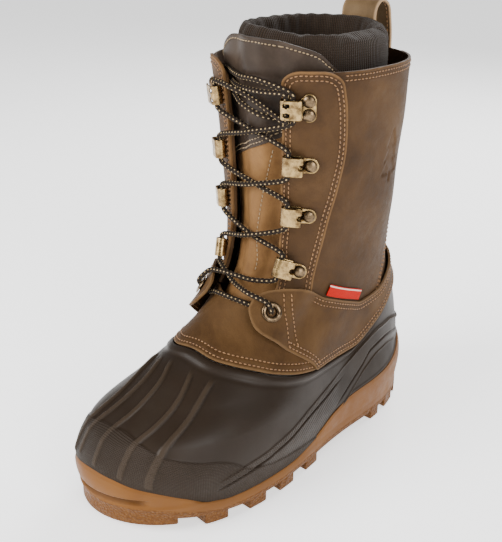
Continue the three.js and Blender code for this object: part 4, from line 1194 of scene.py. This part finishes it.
tab = [(-9, -6.5), (-1, -6.5), (2, -5.4), *arc(6, 0, 5.4, -78, 78, 20), (2, 5.4), (-1, 6.5), (-9, 6.5)]
lobes = [*arc(5.5, -4.6, 4.9, -110, 20, 14), *arc(5.5, 4.6, 4.9, -20, 110, 14)]
base = [(-9, -5), (-1, -4.6), *lobes, (-1, 4.6), (-9, 5)]
front = arc(-9.2, BEND, BEND, 90, 270, 18)
closed_path = [(0.4, 0.6), (0.4, 4.6), (-0.1, 5.7), (-1.2, 6.2), *front, (-7, 0)]
open_path = [(0.7, 5.2), (0.3, 5.9), (-0.6, 6.2), *front, (-7, 0)]
bright_brass = metal("bright_brass", (0.1, 0.06, 0.026), (0.4, 0.27, 0.115), 0.25)
for side, name in SIDES:
    for i, place in enumerate(CLEATS, 1):
        plate = stamp("cleat", tab, 0, PLATE, 0.25)
        clear_selection()
        bpy.ops.mesh.primitive_cylinder_add(vertices=24, radius=KEYHOLE * MM, depth=6 * MM,
                                            location=(1.2 * MM, 0, 0))
        drill = bpy.context.object
        modify(plate, "BOOLEAN", object=drill, operation="DIFFERENCE")
        bpy.data.objects.remove(drill)
        fold_over = folded("fold", closed_path, [(0.6, 0, 2.9, 2.2, 0.0)])
        cleat = settle(join("cleat_brass_%s_%d" % (name, i), [plate, fold_over]), side, place, PLATE_OFF)
        finish(cleat, bright_brass, "boot", ["cleat_%s_%d" % (name, i)])
        rivet = turned("cleat_dome_%s_%d" % (name, i), dome(4.3))
        rivet.data.transform(Matrix.Translation((6 * MM, 0, 0)))
        finish(settle(rivet, side, place, PLATE_OFF), antique_brass, "boot",
               ["cleat_rivet_%s_%d" % (name, i)])
    plate = stamp("hook", base, 0, PLATE, 0.25)
    fold_over = folded("fold", open_path, [(-8.6, 3.2, 2.2, 1.5, 3.4)])
    hook = settle(join("hook_brass_" + name, [plate, fold_over]), side, HOOK, PLATE_OFF)
    finish(hook, bright_brass, "boot", ["top_hook_" + name])
    for i, y in enumerate((4.6, -4.6), 1):
        rivet = turned("hook_dome_%s_%d" % (name, i), dome(4.3))
        rivet.data.transform(Matrix.Translation((5.5 * MM, y * MM, 0)))
        finish(settle(rivet, side, HOOK, PLATE_OFF), antique_brass, "boot",
               ["hook_rivet_%s_%d" % (name, i)])


# ------------------------------------------------------------------ insulation, lining and footbed
# A felt bootie inside the leather and a knit lining inside that, both open at the top, with a
# felt footbed on the lining's floor.
COLLAR = 262
SOCK_HEIGHTS = [52, 58, 66, 80, 95, 110, 126, 142, 162, 182, 200, 230, COLLAR]


def insulation_off(z):
    return -(4.8 + 2.9 * smoothstep(38, 62, z) + 3.9 * smoothstep(92, 116, z))


def toe_rise(y):
    """The last's floor climbs under the heel and again at the toe."""
    return 8 * smoothstep(-15, 75, y) + 8 * np.maximum(0, (-62 - y) / 95) ** 1.7


def ring_loft(name, rings):
    """Closed skin through rings: each is (height, stand-off, shrink towards the middle)."""
    turn = np.linspace(-180, 180, 145)
    rows = []
    for height, off, shrink in rings:
        z = np.full(turn.shape, float(height))
        row = at(turn, z, off)
        if height < 50:
            middle = np.array([ORIGIN[0], ORIGIN[1] - 4, height])
            row = mix(row, middle, shrink)
            row[:, 2] = height + toe_rise(row[:, 1] - ORIGIN[1])
        rows.append(row)
    piece = grid_piece(name, np.array(rows))
    clear_selection()
    bpy.context.view_layer.objects.active = piece
    piece.select_set(True)
    bpy.ops.object.mode_set(mode="EDIT")
    bpy.ops.mesh.select_all(action="SELECT")
    bpy.ops.mesh.remove_doubles(threshold=0.00002)
    bpy.ops.mesh.normals_make_consistent(inside=False)
    bpy.ops.object.mode_set(mode="OBJECT")
    return piece


def bootie(name, bottom, wall, extra):
    def out(z):
        return insulation_off(z) - extra
    low = [(bottom, out(bottom), s) for s in (1.0, 0.7, 0.4, 0.15, 0.04)]
    up = [(38, out(38), 0)] + [(z, out(z), 0) for z in SOCK_HEIGHTS]
    down = [(z, out(z) - wall, 0) for z in SOCK_HEIGHTS[::-1]] + [(38, out(38) - wall, 0)]
    floor_in = [(bottom + wall, out(bottom) - wall, s) for s in (0.04, 0.15, 0.4, 0.7, 1.0)]
    return ring_loft(name, [*low, *up, *down, *floor_in])


felt, tree, surface = shader("grey_felt", 0.95)
surface.inputs["Sheen Weight"].default_value = 0.4
tree.links.new(ramp(tree, noise(tree, 900, 5, 0.8), [(0.3, (0.1, 0.095, 0.09)), (0.7, (0.26, 0.25, 0.24))]),
               surface.inputs["Base Color"])
bump(tree, surface, noise(tree, 1400, 6, 0.8, 1.0), 0.0006, 0.7)


def knit_fabric(name, dark, light, pitch, course, depth):
    """Ribbed knit: wales pitch millimetres apart and courses of small loops, from the UV map."""
    material, tree, surface = shader(name, 0.85)
    surface.inputs["Sheen Weight"].default_value = 0.08
    surface.inputs["Specular IOR Level"].default_value = 0.15
    surface.inputs["Sheen Roughness"].default_value = 0.5
    u, v = surface_uv(tree)
    wander = maths(tree, "MULTIPLY", noise(tree, 90, 3), 0.8)
    u = maths(tree, "ADD", u, wander)
    wale = maths(tree, "ABSOLUTE", wave(tree, "SINE", u, 2 * pitch))
    slant = maths(tree, "ADD", v, maths(tree, "MULTIPLY", wale, 0.5 * course))
    loop = maths(tree, "ADD", maths(tree, "MULTIPLY", wave(tree, "SINE", slant, course), 0.5), 0.5)
    raised = maths(tree, "MULTIPLY", wale, maths(tree, "ADD", 0.65, maths(tree, "MULTIPLY", loop, 0.35)))
    fuzz = noise(tree, 1500, 4, 0.7)
    shade = maths(tree, "ADD", maths(tree, "MULTIPLY", raised, 0.75), maths(tree, "MULTIPLY", fuzz, 0.25))
    tree.links.new(ramp(tree, shade, [(0.15, dark), (0.85, light)]), surface.inputs["Base Color"])
    bump(tree, surface, maths(tree, "ADD", raised, maths(tree, "MULTIPLY", fuzz, 0.2)), depth, 0.9)
    return material


lining_knit = knit_fabric("lining_knit", (0.00672, 0.0044, 0.00288), (0.021, 0.0144, 0.00936),
                          1.3, 1.5, 0.0005)
insulation = bootie("insulation_felt", 24.1, 3.6, 0)
finish(insulation, felt, "boot", ["insulation_bootie"])
lining = bootie("lining_sock", 28.2, 1.2, 4.1)
finish(lining, lining_knit, "boot", ["lining_bootie"])
bed = [(30.3, -14, 1.0), (30.3, -14, 0.5), (30.3, -14, 0.1), (30.3, -14.2, 0), (31, -13.6, 0),
       (34.3, -13.6, 0), (35.1, -14.2, 0), (35.3, -15, 0.05), (35.3, -15, 0.3),
       (35.3, -15, 0.7), (35.3, -15, 1.0)]
footbed = ring_loft("felt_footbed", bed)
finish(footbed, felt, "boot", ["footbed"])


# ------------------------------------------------------------------ padded cuff
# Soft ribbed-knit roll round the liner's top, blown up from a slimmer ring, its fabric gathered
# into short pleats along the inner side and pinched by elastic at the foot.
CUFF_SECTION = [(-16.2, 266), (-16.0, 272), (-15.9, 280), (-15.9, 290), (-16.4, 298), (-17.4, 305),
                (-19.4, 310.5), (-22.6, 313.8), (-26, 312.5), (-28, 307), (-28.6, 299), (-28.0, 290),
                (-26.6, 281), (-24.6, 273), (-21.8, 268)]
CUFF_GIRTH = 300
MOST_SWELL = 3.2
CLOTH_STEPS = 20
cuff_knit = knit_fabric("cuff_rib_knit", (0.0084, 0.005, 0.0027), (0.0315, 0.0188, 0.01044),
                        1.5, 1.7, 0.0007)
around = np.linspace(0, 360, 181)[:-1]
section = smooth_line(CUFF_SECTION + CUFF_SECTION[:1], 3)[:-1]
rows = []
for off, z in section:
    pleat = 0.9 * np.sin(np.radians(around * 26)) * smoothstep(297, 309, z)
    pleat = pleat * (0.35 + 0.65 * smoothstep(150, 230, around))
    pinch = 2.6 * np.exp(-(((around - 118) / 5.5) ** 2)) * smoothstep(280, 308, z)
    height = np.full(around.shape, z) + 0.3 * pleat - pinch
    rows.append(at(around, height, off + pleat * 0.8 - 0.3 * pinch))
rows = np.array(rows)
count_rows, count_cols = rows.shape[:2]
climb = np.concatenate([[0], np.cumsum(np.linalg.norm(np.diff(section, axis=0), axis=1))])
climb = np.append(climb, climb[-1] + 1.5)
step_round = CUFF_GIRTH / count_cols
cuff_faces, corners = [], []
for i in range(count_rows):
    for j in range(count_cols):
        next_row, next_col = (i + 1) % count_rows * count_cols, (j + 1) % count_cols
        cuff_faces.append((i * count_cols + j, i * count_cols + next_col, next_row + next_col, next_row + j))
        corners += [(j * step_round, climb[i]), ((j + 1) * step_round, climb[i]),
                    ((j + 1) * step_round, climb[i + 1]), (j * step_round, climb[i + 1])]
cuff = mesh_piece("ribbed_cuff", rows.reshape(-1, 3), cuff_faces)
cuff.data.uv_layers.new(name="UVMap").data.foreach_set("uv", np.array(corners).ravel())
rest_shape = np.array([v.co for v in cuff.data.vertices])
held = cuff.vertex_groups.new(name="elastic")
for index in range(count_rows * count_cols):
    i, j = divmod(index, count_cols)
    low_hold = 1.0 if section[i][1] < 272 else 0.0
    gather = 0.9 if j % 7 == 0 and section[i][1] > 300 and around[j] > 170 else 0.0
    if max(low_hold, gather):
        held.add([index], max(low_hold, gather), "REPLACE")
clear_selection()
bpy.context.view_layer.objects.active = cuff
cuff.select_set(True)
cloth = cuff.modifiers.new("cloth", "CLOTH")
cloth.settings.vertex_group_mass = "elastic"
cloth.settings.use_pressure = True
cloth.settings.uniform_pressure_force = 30
cloth.settings.mass = 0.08
cloth.settings.tension_stiffness = cloth.settings.compression_stiffness = 6
cloth.settings.effector_weights.gravity = 0
cloth.settings.quality = 6
cloth.point_cache.frame_start, cloth.point_cache.frame_end = 1, CLOTH_STEPS
for step in range(1, CLOTH_STEPS + 1):
    bpy.context.scene.frame_set(step)
bpy.ops.object.modifier_apply(modifier="cloth")
bpy.context.scene.frame_set(1)
now = np.array([v.co for v in cuff.data.vertices])
moved = now - rest_shape
size = np.linalg.norm(moved, axis=1, keepdims=True)
capped = rest_shape + moved * np.minimum(1, MOST_SWELL * MM / np.maximum(size, 1e-9))
cuff.data.vertices.foreach_set("co", capped.ravel())
cuff.data.update()
modify(cuff, "SUBSURF", levels=1, render_levels=1)
cuff.data.shade_smooth()
finish(cuff, cuff_knit, "boot", ["padded_cuff"])


# ------------------------------------------------------------------ pull loop
# Pale leather strap doubled over above the rim, its two tails sewn to both faces of the back
# stay with a row down each edge; it bends at the rim.
LOOP_WIDTH, LOOP_CENTRE, LOOP_WALL = 30, -2, 1.8
rear_face = float(skin(180, RIM + 1)[1] - ORIGIN[1])
inner_tail, outer_tail = rear_face - 5, rear_face + 1.2
LOOP_LINE = [(inner_tail, 266), (inner_tail, 274), (inner_tail, 284), (inner_tail, 292.8),
             (inner_tail - 3, 298), (inner_tail - 9, 306), (inner_tail - 12, 313),
             (inner_tail - 10.5, 320), (inner_tail - 5, 323.3),
             (inner_tail + 1, 320), (outer_tail - 2.5, 311), (outer_tail - 0.6, 301), (outer_tail, 292.8),
             (outer_tail, 284), (outer_tail, 274), (outer_tail, 266)]
loop_path = even_steps(smooth_line(LOOP_LINE, 8), 1.2)
along = unit(np.gradient(loop_path, axis=0))
last = len(loop_path) - 1


def on_loop(x, i):
    y, z = loop_path[i] + np.array([-along[i][1], along[i][0]]) * LOOP_WALL / 2
    return (x + ORIGIN[0], y - x * x / 112 + ORIGIN[1], z)


clear_selection()
bpy.ops.mesh.primitive_grid_add(x_subdivisions=24, y_subdivisions=last, size=2)
pull = bpy.context.object
pull.name = "pull_strap"
for vertex in pull.data.vertices:
    i = int(round((vertex.co.y + 1) / 2 * last))
    vertex.co = Vector(on_loop(LOOP_CENTRE + vertex.co.x / 2 * LOOP_WIDTH, i)) * MM
modify(pull, "SOLIDIFY", thickness=LOOP_WALL * MM, offset=1)
modify(pull, "BEVEL", width=0.5 * MM, segments=2, limit_method="ANGLE", angle_limit=0.9)
pull.data.shade_smooth()

half_row = LOOP_WIDTH / 2 - 3
sides = [np.array([on_loop(LOOP_CENTRE + s * half_row, i) for i in range(2, last - 1)]) for s in (-1, 1)]
across = [np.array([on_loop(LOOP_CENTRE + f * half_row, i) for f in np.linspace(-1, 1, 20)])
          for i in (last - 2, last - 20)]
from_middle = [v.co.x / MM - ORIGIN[0] - LOOP_CENTRE for v in pull.data.vertices]
set_attribute(pull, "edge", [min(abs(x + LOOP_WIDTH / 2), abs(x - LOOP_WIDTH / 2)) for x in from_middle])
loop_stitches = sew("pull_strap_stitching", pull, sides + across, amber_thread, body=None)
loop_leather = leather("loop_leather", (0.0675, 0.0392, 0.0168), (0.12, 0.0742, 0.035),
                       (0.18, 0.1162, 0.0588), (0.39, 0.252, 0.14))
finish(pull, loop_leather, None, ["pull_loop", "loop_tail_inner", "loop_tail_outer"])
for piece in (pull, loop_stitches):
    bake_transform(piece)


# ------------------------------------------------------------------ side label
# Small red woven tab with a pale selvedge, folded double and caught along its foot under the
# strap's upper row of stitching. It carries no lettering.
LABEL_FRONT, LABEL_REAR = 67.5, 97.5
LABEL_HEIGHT, LABEL_LENGTH = 7.5, 26.0


def label_place(u, v):
    foot = mix(strap_top(LABEL_FRONT), strap_top(LABEL_REAR), u) + 1.3
    return mix(LABEL_FRONT, LABEL_REAR, u), foot + v * LABEL_HEIGHT


label = cut("woven_label", 60, 18, label_place, lambda angle, z: 1.9, 0.9, 0.25)
woven, tree, surface = shader("red_weave", 0.75)
surface.inputs["Specular IOR Level"].default_value = 0.12
u, v = surface_uv(tree)
warp, weft = maths(tree, "MULTIPLY", u, LABEL_LENGTH), maths(tree, "MULTIPLY", v, LABEL_HEIGHT)
rows_of = maths(tree, "ABSOLUTE", wave(tree, "SINE", weft, 1.0))
cols_of = maths(tree, "ABSOLUTE", wave(tree, "SINE", warp, 1.2))
cell = maths(tree, "MULTIPLY", rows_of, cols_of)
red = ramp(tree, cell, [(0.1, (0.3, 0.004, 0.001)), (0.8, (0.5, 0.011, 0.003))])
selvedge = span(tree, maths(tree, "ABSOLUTE", maths(tree, "SUBTRACT", weft, 6.4)), 0.55, 0.35)
label_tone = blend_colour(tree, maths(tree, "MULTIPLY", selvedge, 0.8), red, (0.7, 0.6, 0.5))
tree.links.new(label_tone, surface.inputs["Base Color"])
bump(tree, surface, cell, 0.00012, 0.8)
finish(label, woven, "side_label", ["side_label"])


# ------------------------------------------------------------------ lace
# One round braided lace, black with two rows of pale flecks, threaded through the eyelets,
# cleats and hooks; both ends are tucked in behind the facings.
LACE_RADIUS = 1.8
LANE, SECOND_LANE = -9.2, -4.8
BEND_HEIGHT = 6.2
STRANDS, BRAID_PITCH = 4, 3.4


def fitting_point(side, place, off, x, y, z):
    turn, origin = fitting_frame(side, place, off)
    return turn @ np.array([x, side * y, z]) + origin


def on_skin(points):
    return [at(side * angle, z, off) for side, angle, z, off in points]


def through_fitting(side, place, upwards, x=LANE):
    heights = [-9.2, -6.4, 0, 6.4, 9.2]
    points = [fitting_point(side, place, PLATE_OFF, x, y, BEND_HEIGHT / 2) for y in heights]
    return points if upwards else points[::-1]


def out_of_eyelet(side):
    steps = [(0, 0, -4.6), (0, 0, 0), (-1.4, 0.7, 3.6), (-5.5, 3, 4.4)]
    return [fitting_point(side, EYELET, FLAP_OFF, *step) for step in steps]


def crossing(z, over):
    return on_skin([(0, 0, z, 4.8 if over else 0.8)])


lace_start = [(-1, 58, 262, -5.1), (-1, 54, 274, -5.1), (-1, 44, 281, -5.6), (-1, 34, 284, -5.9),
              (-1, 25, 284.5, -5.9), (-1, 15, 284.5, -2.6), (-1, 5, 284.5, 1.4), (1, 8, 285, 4.2)]
lace_turn = [(1, 9, 277.5, 4.2), (-1, 5, 277, 1.1), (-1, 14, 277, -2.2), (-1, 23, 277, -5.9),
             (-1, 29, 273, -5.9), (-1, 23, 269, -5.9), (-1, 14, 269, -2.2), (-1, 6, 267, 2.4),
             (1, 6, 262, 3.4), (1, 15, 258, -3), (1, 21, 254, -5.2), (1, 28, 236, -5.1),
             (1, 29, 205, -5.1), (1, 31, 176, -5.1)]
under_flaps = [(1, 30, 126, 2.2), (1, 22, 129, 2.1), (1, 11, 131, 2.2), (1, 0, 131.5, 2.2),
               (-1, 11, 131, 2.2), (-1, 22, 129, 2.1), (-1, 30, 126, 2.2)]
into_lateral = [(-1, 16, 144, 5), (-1, 4, 140, 3.6), (1, 8, 137, 6.5), (1, 17, 134, 11)]
from_medial = [(-1, 25, 137.5, 11.4), (-1, 17, 141, 8.8), (-1, 9, 143, 7.2), (1, 2, 144, 5.4),
               (1, 12, 144, 4.8)]
route = [
    *on_skin(lace_start), *through_fitting(1, HOOK, False, SECOND_LANE), *crossing(249, True),
    *through_fitting(-1, CLEATS[0], False), *crossing(212, False),
    *through_fitting(1, CLEATS[1], False), *crossing(174, True),
    *through_fitting(-1, CLEATS[2], False), *on_skin(into_lateral),
    *out_of_eyelet(1)[::-1], *on_skin(under_flaps), *out_of_eyelet(-1), *on_skin(from_medial),
    *through_fitting(1, CLEATS[2], True), *crossing(174, False),
    *through_fitting(-1, CLEATS[1], True), *crossing(212, True),
    *through_fitting(1, CLEATS[0], True), *crossing(249, False),
    *through_fitting(-1, HOOK, True), *on_skin([(-1, 10, 277.5, 6), (1, 1, 271, 1.4)]),
    *through_fitting(1, HOOK, True), *on_skin(lace_turn),
]


def tube(name, line, radius, sides):
    """Round tube along a line, with u round it and v along it in millimetres."""
    along = unit(np.gradient(line, axis=0))
    across = np.array([0.0, 0.0, 1.0])
    points, uvs, faces = [], [], []
    gone = np.concatenate([[0], np.cumsum(np.linalg.norm(np.diff(line, axis=0), axis=1))])
    turns = np.linspace(0, 2 * np.pi, sides + 1)
    for middle, way, distance in zip(line, along, gone):
        across = unit(across - way * np.dot(across, way))
        up = np.cross(way, across)
        points += [middle + radius * (math.cos(t) * across + math.sin(t) * up) for t in turns]
        uvs += [(t / (2 * np.pi), distance) for t in turns]
    row = sides + 1
    for i in range(len(line) - 1):
        for j in range(sides):
            a = i * row + j
            faces.append((a, a + 1, a + 1 + row, a + row))
    return mesh_piece(name, points, faces, uvs)


lace_line = even_steps(smooth_line(route), 1.1)
lace = tube("lace_braid", lace_line, LACE_RADIUS, 12)
braid, tree, surface = shader("flecked_braid", 0.8)
surface.inputs["Specular IOR Level"].default_value = 0.12
u, v = surface_uv(tree)
strands = maths(tree, "MULTIPLY", u, STRANDS)
wound = maths(tree, "DIVIDE", v, BRAID_PITCH)
strand = wave(tree, "SINE", maths(tree, "ADD", strands, wound), 1)
counter = wave(tree, "SINE", maths(tree, "SUBTRACT", strands, wound), 1)
weave = maths(tree, "MAXIMUM", strand, counter)
row_wave = wave(tree, "COSINE", u, 1 / STRANDS)
half_turns = maths(tree, "MULTIPLY", maths(tree, "ROUND", strands), math.pi)
steps_along = maths(tree, "MULTIPLY", v, math.tau / BRAID_PITCH)
dash_wave = maths(tree, "SINE", maths(tree, "ADD", steps_along, half_turns))
fleck = maths(tree, "MULTIPLY", span(tree, row_wave, 0.35, 0.75), span(tree, dash_wave, 0.3, 0.75))
thread_tone = ramp(tree, noise(tree, 900), [(0.3, (0.008, 0.0055, 0.004)), (0.7, (0.022, 0.015, 0.0105))])
fleck_tone = ramp(tree, noise(tree, 700), [(0.3, (0.24, 0.16, 0.07)), (0.7, (0.46, 0.34, 0.18))])
tree.links.new(blend_colour(tree, fleck, thread_tone, fleck_tone), surface.inputs["Base Color"])
bump(tree, surface, maths(tree, "ADD", weave, maths(tree, "MULTIPLY", noise(tree, 2500), 0.6)), 0.00022)
finish(lace, braid, "boot", ["lace"])
